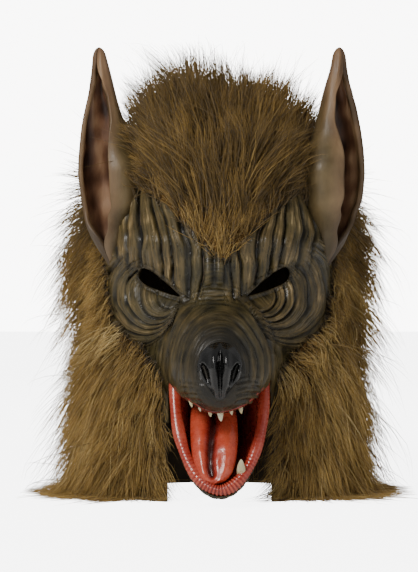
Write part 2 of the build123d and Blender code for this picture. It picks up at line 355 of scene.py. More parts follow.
def brow_arc(x, z, side):
    """Which of the arcs from the eye's inner corner to the ear this point lies on.

    It is the arc's distance from the straight line between the two, halfway up, outward positive.
    """
    (low_x, low_z), (high_x, high_z) = BROW_POLES
    half = math.hypot(high_x - low_x, high_z - low_z) / 2
    across = side * (x - EYES_MIDDLE_X)
    to_low = (across - low_x, z - low_z)
    to_high = (across - high_x, z - high_z)
    cross = to_low[0] * to_high[1] - to_low[1] * to_high[0]
    dot = to_low[0] * to_high[0] + to_low[1] * to_high[1]
    bulge = np.arctan2(np.abs(cross), dot)
    return np.sign(cross) * half / np.tan(np.maximum(bulge, 0.02) / 2)


def brow_folds(x, z, side, hole):
    """Thick folds that run from the eye up to the ear, and the fine lines along them."""
    arc = brow_arc(x, z, side)
    lines = arc
    arc = arc + 3.4 * wobble(x, z, 17, side) + 1.2 * wobble(x, z, 6, 4 + side)
    across = side * (x - EYES_MIDDLE_X)
    share = smooth(5, 10, across) * smooth(-38, -30, arc) * smooth(44, 36, arc) * smooth(0.2, 2.2, hole)
    floor = 150 + 0.55 * (across - 26)
    fade = 4 + 9 * smooth(45, 60, across)
    share = share * smooth(floor - fade, floor + fade, z) * smooth(236, 222, z)
    phase = arc * 2 * np.pi / BROW_PITCH + 1.3 * np.sin(arc * 0.23 + side) + 1.0
    depth = (BROW_DEPTH + 0.8 * wobble(x, z, 15, 3 + side)) * uneven(phase, 0.6, side)
    depth = depth * fading(phase, z / 11, 0.6, side)
    height = share * depth * folds(phase, 5.5, 0.5)
    second = arc * 2 * np.pi / 4.3 + 2.4 * wobble(x, z, 12, 9 + side)
    height += share * 0.9 * fading(second, z / 8, 0.0, side) * folds(second, 2.0, 0.4)
    fine = folds(arc * 2 * np.pi / FINE_PITCH + 2.4 * wobble(x, z, 6, side), 1.3)
    return height + share * 0.34 * fine * (0.7 + 0.6 * wobble(x, z, 9, 8)), share, lines


def bag_folds(x, z, side, hole):
    """Folds that hang from the eye's inner corner, under the eye and up round its outside."""
    ring, angle = bag_ring(x, z, side)
    lines = ring
    ring = ring + 3.6 * wobble(x, z, 19, 5 + side) + 1.2 * wobble(x, z, 6, 2 - side)
    share = smooth(-1.95, -1.45, angle) * smooth(0.95, 0.45, angle)
    share = share * smooth(15, 24, ring) * smooth(84, 77, ring) * smooth(0.2, 2.2, hole)
    phase = ring * 2 * np.pi / BAG_PITCH + 1.5 * np.sin(ring * 0.15 + side)
    depth = (BAG_DEPTH + 0.8 * wobble(x, z, 17, 6 + side)) * uneven(phase, 0.6, side + 2)
    depth = depth * fading(phase, 2.2 * angle, 0.6, side)
    height = share * depth * folds(phase, 5.0, 0.5)
    second = ring * 2 * np.pi / 4.4 + 2.6 * wobble(x, z, 13, 1 + side)
    height += share * 0.8 * fading(second, 3.0 * angle, 0.0, side) * folds(second, 2.0, 0.4)
    fine = folds(ring * 2 * np.pi / FINE_PITCH + 2.6 * wobble(x, z, 7, side + 3), 1.3)
    return height + share * 0.34 * fine * (0.7 + 0.6 * wobble(x, z, 10, 7)), share, lines


def face_relief(x, z):
    """Height of the face's folds and wrinkles, outwards, and a coordinate that runs across them."""
    height = np.zeros_like(x)
    grain = np.hypot(x * 1.08, (z - 95) / 1.3)
    for side in (-1, 1):
        own = smooth(-2, 6, side * (x - EYES_MIDDLE_X))
        hole = eye_opening(x, z, side)
        brow, brow_share, brow_lines = brow_folds(x, z, side, hole)
        bag, bag_share, bag_lines = bag_folds(x, z, side, hole)
        grain = np.where(own * bag_share > 0.4, bag_lines, grain)
        grain = np.where(own * brow_share > 0.4, brow_lines, grain)
        height += own * (brow + bag * (1 - brow_share))
        # the lids: a low rolled edge, and a crease outside it
        height += 0.5 * np.exp(-((hole - 0.8) / 0.9) ** 2) - 0.5 * np.exp(-((hole - 2.8) / 0.8) ** 2)
    middle = x - EYES_MIDDLE_X
    # two small upright bulges between the brows, under the point of the hair
    root = smooth(12, 8, np.abs(middle)) * smooth(151, 156, z) * smooth(180, 172, z)
    height += 1.7 * root * folds(middle * 2 * np.pi / 8.6, 2.0)
    # level wrinkles over the bridge
    bridge = smooth(27, 15, np.abs(middle)) * smooth(135, 140, z) * smooth(155, 150, z)
    lines = (z + 0.010 * middle ** 2) * 2 * np.pi / 3.2 + 1.8 * wobble(x, z, 8)
    height += 0.55 * bridge * folds(lines, 2.0) * (0.7 + 0.6 * wobble(x, z, 7, 5))
    # rings beside the nose, deeper on the wearer's left
    radius = np.hypot(x * 1.08, (z - 95) / 1.3) + 1.5 * wobble(x, z, 12, 9)
    turn = np.arctan2(z - 96, np.abs(x))
    ring = smooth(19, 25, radius) * smooth(50, 40, radius)
    ring = ring * smooth(-0.7, -0.1, turn) * smooth(1.45, 1.0, turn)
    ring = ring * (0.75 + 0.5 * wobble(x, z, 13, 2))
    height += np.where(x > 0, 2.1, 0.6) * ring * folds(radius * 2 * np.pi / 5.6, 2.0, 0.4)
    # short wrinkles over the upper lip
    lip = smooth(9, 13, np.abs(x)) * smooth(30, 24, np.abs(x)) * smooth(68, 73, z) * smooth(94, 86, z)
    curve = z + 0.020 * (np.abs(x) - 20) ** 2
    lip = lip * (0.7 + 0.6 * wobble(x, z, 6, 3))
    height += np.where(x > 0, 1.4, 0.5) * lip * folds(curve * 2 * np.pi / 4.2 + 2.0 * wobble(x, z, 7, 4), 1.6)
    # the skin's own fine crumple
    return height + 0.10 * wobble(x, z, 2.3, 1) + 0.16 * wobble(x, z, 4.7, 6), grain


EAR_BASE = (79.0, -24.0, 186.0)
EAR_LEAN = math.radians(3.5)
EAR_TURN = {1: math.radians(54), -1: math.radians(34)}
EAR_LOBE = {1: math.radians(36), -1: math.radians(38)}     # how far the rim by the crown laps over
EAR_SPREAD = {1: 6.5, -1: 1.0}        # how far the outer wall is drawn outwards
EAR_SHADE = {1: 0.80, -1: 0.12}       # painted shade deep in the scoop, much stronger on the ear away from the key light
EAR_SECTIONS = np.array([   # height, half width, half depth
    (-18, 2.0, 2.0), (-10, 8.0, 7.0), (0, 13.5, 12.0), (14, 17.5, 17.5), (32, 20.0, 21.0),
    (50, 20.5, 20.5), (66, 19.0, 18.5), (82, 16.0, 15.5), (98, 12.5, 12.0), (112, 9.0, 9.0),
    (124, 6.4, 6.4), (134, 5.0, 5.0), (141, 4.2, 4.2),
])


def face_form(x, z):
    """The smooth face: how far it stands forward (-y) at (x, z)."""
    half_width, half_depth = head_section(z)
    share = np.clip(x / half_width, -0.9995, 0.9995)
    head = half_depth * np.sqrt(1 - share ** 2) - HEAD_Y
    forward = smooth_max(head, -muzzle_y(x, z), 9.0)
    for side in (-1, 1):
        middle = EYES_MIDDLE_X + side * 44
        front = smooth(1.0, 0.75, np.abs(share))
        forward += front * 9.0 * bump(x, z, (middle + side * 2, 184), (30, 15))
        along, over = eye_local(x, z, side)
        forward -= 7.5 * bump(along, over, (1, -1), (20, 9))
        forward += front * 8.0 * bump(x, z, (middle + side * 2, 133), (25, 15))
        ring, ring_angle = bag_ring(x, z, side)
        under = smooth(72, 84, ring) * smooth(118, 92, ring) * smooth(-2.0, -1.6, ring_angle)
        forward -= front * 4.5 * under * smooth(0.3, -0.2, ring_angle) * smooth(22, 34, np.abs(x))
    forward += 6.5 * bump(x, z, (EYES_MIDDLE_X, 163), (15, 13))
    forward -= 2.5 * bump(x, z, (EYES_MIDDLE_X + 1, 145), (17, 7))
    # cheeks of the upper lip, parted under the nose
    for side in (-1, 1):
        forward += 3.0 * bump(x, z, (side * 14, 80), (9, 10))
    forward -= 1.6 * bump(x, z, (0.5, 74), (1.6, 9))
    edge = z - lip_edge(x)
    forward -= 4.0 * np.exp(-np.clip(edge, 0, 40) / 1.8) * smooth(36, 30, np.abs(x))
    return forward


def lip_edge(x):
    return LIP_Z + LIP_RISE * x ** 2 + 0.5 * np.sin(x / 4.0)


# ---- materials ---------------------------------------------------------------------------
def linear(red, green, blue):
    """A display colour, 0 to 255, as linear light."""
    values = []
    for value in (red, green, blue):
        share = value / 255
        values.append(share / 12.92 if share <= 0.04045 else ((share + 0.055) / 1.055) ** 2.4)
    return (*values, 1.0)


class Nodes:
    """A short way to write a material's node tree."""

    def __init__(self, name, roughness, **inputs):
        self.material = bpy.data.materials.new(name)
        self.material.use_nodes = True
        self.tree = self.material.node_tree
        self.shader = self.tree.nodes["Principled BSDF"]
        self.shader.inputs["Roughness"].default_value = roughness
        for key, value in inputs.items():
            self.shader.inputs[key.replace("_", " ")].default_value = value

    def add(self, kind, **settings):
        node = self.tree.nodes.new(kind)
        for key, value in settings.items():
            setattr(node, key, value)
        return node

    def link(self, source, target):
        self.tree.links.new(source, target)

    def coordinates(self, scale=(1, 1, 1)):
        place = self.add("ShaderNodeTexCoord")
        mapping = self.add("ShaderNodeMapping")
        mapping.inputs["Scale"].default_value = scale
        self.link(place.outputs["Object"], mapping.inputs["Vector"])
        return mapping.outputs["Vector"]

    def noise(self, scale, detail=4.0, stretch=(1, 1, 1)):
        node = self.add("ShaderNodeTexNoise")
        node.inputs["Scale"].default_value = scale
        node.inputs["Detail"].default_value = detail
        self.link(self.coordinates(stretch), node.inputs["Vector"])
        return node.outputs["Fac"]

    def brushed(self, name):
        """Streaks that run along the folds: fine across them, long down them."""
        stretch = self.add("ShaderNodeCombineXYZ")
        self.link(self.maths("MULTIPLY", self.attribute(name), 0.75), stretch.inputs["X"])
        place = self.add("ShaderNodeSeparateXYZ")
        self.link(self.coordinates((60, 60, 60)), place.inputs["Vector"])
        self.link(place.outputs["Z"], stretch.inputs["Y"])
        self.link(place.outputs["X"], stretch.inputs["Z"])
        node = self.add("ShaderNodeTexNoise")
        node.inputs["Scale"].default_value = 1.0
        node.inputs["Detail"].default_value = 5.0
        self.link(stretch.outputs["Vector"], node.inputs["Vector"])
        return node.outputs["Fac"]

    def attribute(self, name):
        node = self.add("ShaderNodeAttribute", attribute_name=name)
        return node.outputs["Fac"]

    def spread(self, source, gain):
        """The source less one half, times a gain."""
        node = self.add("ShaderNodeMath", operation="MULTIPLY_ADD")
        self.link(source, node.inputs[0])
        node.inputs[1].default_value = gain
        node.inputs[2].default_value = -gain / 2
        return node.outputs[0]

    def ramp(self, source, stops):
        node = self.add("ShaderNodeValToRGB")
        elements = node.color_ramp.elements
        while len(elements) < len(stops):
            elements.new(0.5)
        for element, (place, colour) in zip(elements, stops):
            element.position = place
            element.color = colour
        self.link(source, node.inputs["Fac"])
        return node.outputs["Color"]

    def mix(self, share, first, second, blend="MIX"):
        node = self.add("ShaderNodeMix", data_type="RGBA", blend_type=blend)
        for source, key in ((share, 0), (first, 6), (second, 7)):
            if isinstance(source, bpy.types.NodeSocket):
                self.link(source, node.inputs[key])
            else:
                node.inputs[key].default_value = source
        return node.outputs[2]

    def maths(self, operation, first, second):
        node = self.add("ShaderNodeMath", operation=operation)
        for source, key in ((first, 0), (second, 1)):
            if isinstance(source, bpy.types.NodeSocket):
                self.link(source, node.inputs[key])
            else:
                node.inputs[key].default_value = source
        return node.outputs[0]

    def bump(self, source, strength, distance):
        node = self.add("ShaderNodeBump")
        node.inputs["Strength"].default_value = strength
        node.inputs["Distance"].default_value = distance
        self.link(source, node.inputs["Height"])
        self.link(node.outputs["Normal"], self.shader.inputs["Normal"])

    def colour(self, source):
        self.link(source, self.shader.inputs["Base Color"])

    def roughness(self, source, low, high):
        ramp = self.ramp(source, [(0.3, (low, low, low, 1)), (0.7, (high, high, high, 1))])
        self.link(ramp, self.shader.inputs["Roughness"])


def face_latex():
    """Painted latex over a brown body: dark wash and painted shade in the creases, pale dry brush and painted
    highlight on the ridges.
    """
    nodes = Nodes("face_latex", 0.42, Specular_IOR_Level=0.45)
    streaks_and_highlights = nodes.brushed("grain")
    blotches = nodes.noise(80, 4)
    # the relief and the streaks set the colour: painted shade in the creases, painted highlight along the
    # ridges
    height = nodes.maths("ADD", nodes.attribute("relief"), nodes.spread(streaks_and_highlights, 0.85))
    height = nodes.maths("ADD", height, nodes.spread(blotches, 0.7))
    body = nodes.ramp(height, [
        (0.12, linear(19, 18, 14)), (0.36, linear(48, 44, 28)), (0.58, linear(84, 75, 46)),
        (0.80, linear(116, 101, 66)), (1.0, linear(180, 162, 124)),
    ])
    patches = nodes.ramp(nodes.noise(26, 3), [(0.4, linear(128, 104, 60)), (0.65, linear(84, 88, 72))])
    toned = nodes.mix(0.55, body, nodes.mix(0.8, body, patches, "SOFT_LIGHT"))
    nodes.colour(nodes.mix(nodes.attribute("dark"), toned, linear(24, 22, 18)))
    nodes.roughness(streaks_and_highlights, 0.24, 0.56)
    nodes.bump(streaks_and_highlights, 0.7, 0.0011)
    return nodes.material


def ear_latex():
    """Pink-brown latex of the ears, darker outside and at the root, with painted shade deep in the scoop."""
    nodes = Nodes("ear_latex", 0.45, Specular_IOR_Level=0.45)
    grain = nodes.noise(300, 5, (1, 1, 0.2))
    body = nodes.ramp(nodes.maths("ADD", nodes.attribute("relief"), nodes.maths("MULTIPLY", grain, 0.4)), [
        (0.22, linear(50, 31, 23)), (0.50, linear(98, 66, 47)), (0.75, linear(132, 96, 70)),
        (1.0, linear(168, 132, 100)),
    ])
    weathered = nodes.ramp(nodes.noise(60, 4), [(0.35, linear(84, 74, 46)), (0.65, linear(112, 97, 64))])
    brown = nodes.mix(nodes.attribute("outside"), body, weathered)
    nodes.colour(nodes.mix(nodes.attribute("dark"), brown, linear(40, 32, 24)))
    nodes.roughness(grain, 0.38, 0.56)
    nodes.bump(nodes.noise(700, 6, (1, 1, 0.3)), 0.3, 0.0006)
    return nodes.material


def mouth_latex(name, deep, body, bright):
    """Wet red latex of the mouth; the relief attribute darkens its creases with painted shade."""
    nodes = Nodes(name, 0.24, Specular_IOR_Level=0.6, Coat_Weight=0.25, Coat_Roughness=0.12)
    grain = nodes.noise(260, 4)
    height = nodes.maths("ADD", nodes.attribute("relief"), nodes.maths("MULTIPLY", grain, 0.3))
    tone = nodes.ramp(height, [(0.25, deep), (0.65, body), (1.0, bright)])
    nodes.colour(nodes.mix(nodes.attribute("dark"), tone, linear(26, 12, 9)))
    nodes.roughness(grain, 0.18, 0.38)
    nodes.bump(nodes.noise(600, 5), 0.25, 0.0005)
    return nodes.material


def nose_gloss():
    nodes = Nodes("nose_gloss", 0.26, Specular_IOR_Level=0.35, Coat_Weight=0.55, Coat_Roughness=0.12)
    pores = nodes.noise(500, 4)
    nodes.colour(nodes.ramp(pores, [(0.3, linear(3, 3, 3)), (0.7, linear(9, 9, 9))]))
    nodes.roughness(pores, 0.18, 0.34)
    nodes.bump(nodes.noise(800, 5), 0.3, 0.0005)
    return nodes.material


def tooth_enamel():
    nodes = Nodes("tooth_enamel", 0.25, Specular_IOR_Level=0.6, Subsurface_Weight=0.1)
    stain = nodes.noise(180, 4, (1, 1, 0.4))
    nodes.colour(nodes.ramp(stain, [(0.3, linear(196, 176, 120)), (0.65, linear(236, 226, 190))]))
    nodes.roughness(stain, 0.2, 0.4)
    return nodes.material


def inside_latex():
    """Bare latex of the hood and of the inside of the mask."""
    nodes = Nodes("inside_latex", 0.6, Specular_IOR_Level=0.35)
    mottle = nodes.noise(60, 5)
    nodes.colour(nodes.ramp(mottle, [(0.3, linear(60, 49, 36)), (0.7, linear(88, 74, 54))]))
    nodes.bump(nodes.noise(350, 5), 0.3, 0.0008)
    return nodes.material


def knit_backing():
    """The brown knit that the pile grows from."""
    nodes = Nodes("knit_backing", 0.95, Specular_IOR_Level=0.2)
    nodes.colour(nodes.ramp(nodes.noise(500, 3), [(0.35, linear(70, 50, 24)), (0.7, linear(110, 82, 42))]))
    nodes.bump(nodes.noise(900, 3), 0.5, 0.001)
    return nodes.material


FUR_TONES = (   # display colours of the pile, from dark to pale
    (94, 73, 30), (120, 94, 42), (144, 114, 56), (164, 133, 71), (182, 153, 90), (206, 180, 122),
)
FUR_ZONES = ((0.62, 0.8), (0.95, 0.65), (1.15, 0.55))    # root, middle and tip: brightness, roughness


def fur_shades():
    """Every shade of the pile: each tone at its root, middle and tip."""
    shades = []
    for index, tone in enumerate(FUR_TONES):
        for zone, (brightness, roughness) in zip(("root", "middle", "tip"), FUR_ZONES):
            nodes = Nodes(f"fur_{index}_{zone}", roughness, Specular_IOR_Level=0.35)
            colour = [min(channel * brightness, 255) for channel in tone]
            nodes.shader.inputs["Base Color"].default_value = linear(*colour)
            nodes.shader.inputs["Sheen Weight"].default_value = 0.15
            shades.append(nodes.material)
    return shades


# ---- the face ----------------------------------------------------------------------------
def face_points(turn, z, lift=0.0):
    """Points of the face at angle turn round the head and height z, and their x."""
    half_width, _ = head_section(z)
    x = half_width * np.sin(turn)
    return np.stack([x, -face_form(x, z) - lift, z], -1), x


def outside_ears(points):
    """Positive outside the scoops of both ears; a sheet is cut where this is zero."""
    away = np.full(len(points), 50.0)
    for side in (-1, 1):
        height = points[:, 2] - EAR_BASE[2]
        size = np.interp(height, EAR_SECTIONS[:, 0], EAR_SECTIONS[:, 1]) - 1.5
        across = points[:, 0] - side * (EAR_BASE[0] + height * math.tan(EAR_LEAN))
        gap = np.hypot(across, points[:, 1] - EAR_BASE[1]) - size
        away = np.minimum(away, np.where(height > 2, gap, np.maximum(gap, 2 - height)))
    return away


def make_face(latex, inside):
    columns, rows = 330, 330
    turn = np.linspace(-1.50, 1.50, columns)
    levels = np.linspace(56, 236, rows)
    grid_turn, grid_z = np.meshgrid(turn, levels)
    flat = np.stack([grid_turn.ravel(), grid_z.ravel()], -1)
    faces = triangles(grid_faces(rows, columns))

    def x_of(points):
        half_width, _ = head_section(points[:, 1])
        return half_width * np.sin(points[:, 0])

    for side in (-1, 1):
        flat, faces = clip_triangles(flat, faces, eye_opening(x_of(flat), flat[:, 1], side))
    x = x_of(flat)
    mouth = np.maximum(flat[:, 1] - lip_edge(x), np.abs(x) - MOUTH_HALF_WIDTH - 3)
    flat, faces = clip_triangles(flat, faces, mouth)
    whole, _ = face_points(flat[:, 0], flat[:, 1])
    flat, faces = clip_triangles(flat, faces, outside_ears(whole))
    points, x = face_points(flat[:, 0], flat[:, 1])
    z = flat[:, 1]
    normals = point_normals(points, faces)
    relief, grain = face_relief(x, z)
    outer = points + normals * relief[:, None]
    inner = points - normals * SKIN
    # fold height from 0 in the creases to 1 on the ridges; the colour made from it is partly painted shade
    # and painted highlight
    relief_share = np.clip(0.52 + relief * np.where(relief > 0, 0.20, 0.15), 0, 1)
    nose = np.hypot(x * 1.0, (z - 97) / 1.3)
    dark = 0.62 * smooth(27, 14, nose) + 0.25 * smooth(44, 24, nose)
    for side in (-1, 1):
        dark = dark + 0.55 * smooth(3.5, 0.5, eye_opening(x, z, side))
    dark = np.clip(dark, 0, 0.9)
    shell, shell_faces = closed_shell(outer, inner, faces)
    slots = np.zeros(len(shell_faces), dtype=int)
    slots[len(faces):2 * len(faces)] = 1
    attributes = {"relief": np.tile(relief_share, 2), "dark": np.tile(dark, 2), "grain": np.tile(grain, 2)}
    piece = new_mesh("face", shell, shell_faces, [latex, inside], slots, attributes)
    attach(piece, "head")
    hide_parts("face_skin")


def make_hood(inside):
    """The latex back of the head and the skirt, open over the face and the throat."""
    columns, rows = 150, 120
    turn = np.linspace(0, 2 * np.pi, columns, endpoint=False)
    levels = np.concatenate([np.linspace(0, DOME_Z, 70, endpoint=False), dome_levels(rows - 70)])
    grid_turn, grid_z = np.meshgrid(turn, levels)
    half_width, half_depth = head_section(grid_z)
    x = half_width * np.sin(grid_turn)
    y = HEAD_Y - half_depth * np.cos(grid_turn)
    points = np.stack([x, y, grid_z], -1).reshape(-1, 3)
    faces = triangles(grid_faces(rows, columns, close_columns=True))
    throat = np.maximum(np.abs(points[:, 0]) - NECK_GAP, points[:, 1] - (HEAD_Y - 20))
    throat = np.maximum(throat, points[:, 2] - 60)
    window = np.maximum(points[:, 1] + 6, np.maximum(60 - points[:, 2], points[:, 2] - 232))
    points, faces = clip_triangles(points, faces, np.minimum(throat, window))
    points, faces = clip_triangles(points, faces, outside_ears(points))
    normals = point_normals(points, faces)
    shell, shell_faces = closed_shell(points, points - normals * SKIN, faces)
    piece = new_mesh("hood", shell, shell_faces, [inside])
    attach(piece, "head")
    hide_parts("hood_skin")


def dome_levels(count):
    angles = np.linspace(0, math.pi / 2, count)
    return DOME_Z + (CROWN_Z - DOME_Z) * np.sin(angles)


# ---- nose --------------------------------------------------------------------------------
NOSE_OUTLINE = np.array([   # share of the height from the top, half width
    (0.0, 0.0), (0.03, 6.0), (0.10, 10.5), (0.22, 14.3), (0.38, 16.2), (0.52, 16.0), (0.64, 13.4),
    (0.76, 9.0), (0.87, 5.6), (0.95, 3.6), (1.0, 0.0),
])


def nose_sculpt(x, z):
    """Height of the nose over the muzzle: two upright ridges, the slits beside them and the wings."""
    slit_top = NOSE_MID[2] + 4
    top = smooth(NOSE_HIGH[2] + 1, NOSE_HIGH[2] - 10, z)
    height = -1.5 * np.exp(-(x / 1.1) ** 2) * top
    for side in (-1, 1):
        out = side * x
        ridge_x = 4.6 - 1.9 * smooth(slit_top, NOSE_LOW[2] + 2, z)
        ridge = np.exp(-((out - ridge_x) / 3.0) ** 2) * smooth(NOSE_LOW[2], NOSE_LOW[2] + 12, z)
        height += (2.4 + 1.6 * bump(out, z, (ridge_x, slit_top + 2), (9, 11))) * ridge * top
        below = slit_top - z
        slit_x = 11.6 - 0.42 * below + 0.008 * below ** 2
        span = smooth(-3.0, 1, below) * smooth(16, 5, below)
        height -= 4.2 * np.exp(-((out - slit_x) / 1.5) ** 2) * span * smooth(0, 2, out)
        height += 2.4 * bump(out, z, (13.6, slit_top - 6), (2.2, 8))
    return height + 0.12 * wobble(x, z, 1.7, 3)


def make_nose(gloss):
    """The glossy nose pad, from a broad top to a narrow stem over the lip."""
    rings, columns = 60, 200
    high, low = NOSE_HIGH[2] + 0.5, NOSE_LOW[2] - 0.5
    share = np.linspace(0, 1, 400)
    half = np.interp(share, NOSE_OUTLINE[:, 0], NOSE_OUTLINE[:, 1])
    outline = np.concatenate([
        np.stack([half, high + (low - high) * share], -1),
        np.stack([-half, high + (low - high) * share], -1)[::-1],
    ])
    run = np.concatenate([[0], np.cumsum(np.linalg.norm(np.diff(outline, axis=0), axis=1))])
    even = np.linspace(0, run[-1], columns, endpoint=False)
    rim = np.stack([np.interp(even, run, outline[:, axis]) for axis in (0, 1)], -1)
    centre = np.array([0.0, NOSE_MID[2] + 4])
    size = np.linspace(0.002, 1.0, rings) ** 0.75
    flat = centre + (rim[None] - centre) * size[:, None, None]
    x, z = flat[..., 0], flat[..., 1]
    rise = 6.2 * np.clip(1 - size ** 2.6, 0, 1)[:, None] ** 0.75 - 1.2
    inside = smooth(1.0, 0.80, size)[:, None]
    y = -face_form(x, z) - rise - inside * nose_sculpt(x, z)
    points = np.stack([x, y, z], -1).reshape(-1, 3)
    faces = grid_faces(rings, columns, close_columns=True)
    shell, shell_faces = closed_shell(points, points + np.array([0, 1.2, 0]), faces)
    piece = new_mesh("nose", shell, shell_faces, [gloss])
    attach(piece, "head")
    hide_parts("nose_pad")


# ---- mouth -------------------------------------------------------------------------------
LIP_CORNER = np.array([0.0, -84.0, JAW_HIGH[2]])
LIP_TIP = np.array([0.0, JAW_LOW[1], JAW_LOW[2] + 1.2])
JAW_DOWN = (LIP_TIP - LIP_CORNER) / np.linalg.norm(LIP_TIP - LIP_CORNER)
JAW_BACK = np.array([0.0, -JAW_DOWN[2], JAW_DOWN[1]])
JAW_LENGTH = float(np.linalg.norm(LIP_TIP - LIP_CORNER))
JAW_DEPTH = 33.0
WEB = 9.0       # how far the cheeks of the mouth run up past its corners
LIP_OVERHANG = 2.4      # how far the lip at the sides stands out over the brown jaw


def jaw_place(x, along, back):
    """Points from coordinates across, down and behind the open mouth."""
    across = x[..., None] * np.array([1.0, 0, 0])
    return across + along[..., None] * JAW_DOWN + back[..., None] * JAW_BACK + LIP_CORNER


def jaw_rim(count):
    """Rim stations: half-turn angle, the run up past the corners, and distance along the rim."""
    web = np.linspace(WEB, 0, 12, endpoint=False)
    turn = np.linspace(0, math.pi, count)
    angle = np.concatenate([np.zeros(12), turn, np.full(12, math.pi)])
    rise = np.concatenate([web, np.zeros(count), web[::-1]])
    x = MOUTH_HALF_WIDTH * np.cos(angle)
    along = JAW_LENGTH * np.sin(angle) - rise
    run = np.concatenate([[0], np.cumsum(np.hypot(np.diff(x), np.diff(along)))])
    return angle, rise, run


def jaw_wall(angle, rise, tilt, inset):
    """The jaw's half-ellipsoid wall; tilt 0 is the rim and a quarter turn its deepest line."""
    x = (MOUTH_HALF_WIDTH - inset) * np.cos(angle) * np.cos(tilt)
    along = (JAW_LENGTH - inset) * np.sin(angle) * np.cos(tilt) - rise
    back = (JAW_DEPTH - inset) * np.sin(tilt) + 0 * angle
    return x, along, back


def rim_outward(angle):
    """Unit direction out of the mouth, in its plane."""
    x = np.cos(angle) / MOUTH_HALF_WIDTH
    along = np.sin(angle) / JAW_LENGTH
    size = np.hypot(x, along)
    return x / size, along / size


def make_jaw(latex, red):
    angle, rise, run = jaw_rim(420)
    out_x, out_along = rim_outward(angle)
    chin = np.sin(angle) ** 2
    # red lining with the rolled, creased lip
    roll = np.radians(np.linspace(-65, 175, 26))
    crease = folds(run * 2 * np.pi / 2.9 + 2.2 * wobble(run, run * 0.3, 7), 1.6)
    crease = crease * (0.7 + 0.6 * wobble(run, run * 0.4, 5, 3))
    lump = wobble(run, run * 0.5, 9, 2)
    rows_x, rows_along, rows_back, relief = [], [], [], []
    for step in roll:
        radius = 4.1 + 0.6 * lump + (0.06 + 0.42 * chin ** 2) * crease
        offset = radius * np.cos(step) - 4.6 + LIP_OVERHANG * (1 - chin ** 2)
        rows_x.append(MOUTH_HALF_WIDTH * np.cos(angle) + out_x * offset)
        rows_along.append(JAW_LENGTH * np.sin(angle) - rise + out_along * offset)
        rows_back.append(-radius * 0.85 * np.sin(step) - 0.6 + 0 * angle)
        # low in the lip's creases, where the red is darkened as painted shade
        relief.append(np.clip(0.62 + 0.10 * lump + 0.45 * crease * (0.1 + 0.9 * chin ** 2), 0, 1))
    for tilt in np.linspace(0.06, math.pi / 2, 44):
        x, along, back = jaw_wall(angle, rise, tilt, 6.0)
        ripple = 0.8 * wobble(run + 30 * tilt, 40 * tilt, 6, 1)
        rows_x.append(x + out_x * ripple)
        rows_along.append(along + out_along * ripple)
        rows_back.append(back)
        relief.append(np.full(len(angle), 0.55) + 0.25 * ripple)
    x, along, back = np.array(rows_x), np.array(rows_along), np.array(rows_back)
    outer = jaw_place(x, along, back)
    faces = grid_faces(len(rows_x), len(angle))
    flat = outer.reshape(-1, 3)
    normals = point_normals(flat, faces)
    inner = flat + normals * 1.6
    inner[: len(roll) * len(angle)] = (flat - normals * -0.8)[: len(roll) * len(angle)]
    # painted shade: the lining darkens deeper into the jaw
    dark = smooth(5.0, 24.0, back) * 0.9
    shell, shell_faces = closed_shell(flat, inner, faces)
    attributes = {"relief": np.tile(np.array(relief).ravel(), 2), "dark": np.tile(dark.ravel(), 2)}
    lining = new_mesh("jaw_mouth_lining", shell, shell_faces, [red], None, attributes)
    # brown outside of the jaw
    stations = np.concatenate([np.linspace(0.0, 0.1, 8), np.linspace(0.15, math.pi / 2, 40)])
    grid = [jaw_wall(angle, rise, tilt, 0.6) for tilt in stations]
    x, along, back = (np.array([row[axis] for row in grid]) for axis in range(3))
    wrinkle = 0.5 * folds((run[None, :] + 8 * np.sin(3 * stations[:, None])) * 2 * np.pi / 7.5, 2.0)
    x = x + out_x[None, :] * wrinkle * 0.8
    along = along + out_along[None, :] * wrinkle * 0.8
    flat = jaw_place(x, along, back).reshape(-1, 3)
    faces = grid_faces(len(stations), len(angle))
    normals = point_normals(flat, faces)
    shell, shell_faces = closed_shell(flat, flat + normals * 1.5, faces)
    count = len(flat)
    grain = np.tile(run, len(stations))
    attributes = {
        "relief": np.tile(0.5 + 0.25 * wrinkle.ravel(), 2),
        "dark": np.full(2 * count, 0.12),
        "grain": np.tile(grain, 2),
    }
    skin = new_mesh("jaw", shell, shell_faces, [latex], None, attributes)
    for piece, node, slot in ((lining, "jaw_lining", "mouth_red"), (skin, "jaw_skin", "face_latex")):
        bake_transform(piece)
        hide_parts(node)


def make_palate(red):
    """Roof of the mouth, from behind the upper lip back to the throat, ribbed across."""
    rows, columns = 70, 60
    across = np.linspace(-1, 1, columns)
    back = np.linspace(0, 1, rows)
    grid_back, grid_across = np.meshgrid(back, across, indexing="ij")
    x = grid_across * (MOUTH_HALF_WIDTH - 1.5)
    front_y = -face_form(x, lip_edge(x) + 3) + SKIN + 0.6
    y = front_y + (-66 - front_y) * grid_back
    arch = 5.0 * (1 - grid_across ** 2) * smooth(0, 0.3, grid_back)
    z = lip_edge(x) + 1.5 + (90 - lip_edge(x)) * grid_back ** 0.9 + arch
    ribs = folds((grid_back * 55 + 3 * np.abs(grid_across)) * 2 * np.pi / 7, 2.0)
    z = z + 0.5 * ribs
    points = np.stack([x, y, z], -1).reshape(-1, 3)
    faces = grid_faces(rows, columns)[:, ::-1]
    normals = point_normals(points, faces)
    shell, shell_faces = closed_shell(points, points - normals * 2.0, faces)
    relief = np.clip(0.55 + 0.3 * ribs, 0, 1).ravel()
    # painted shade: darker towards the throat
    dark = (0.2 + 0.75 * smooth(0.1, 0.7, grid_back)).ravel()
    attributes = {"relief": np.tile(relief, 2), "dark": np.tile(dark, 2)}
    piece = new_mesh("palate", shell, shell_faces, [red], None, attributes)
    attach(piece, "head")
    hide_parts("palate_lining")


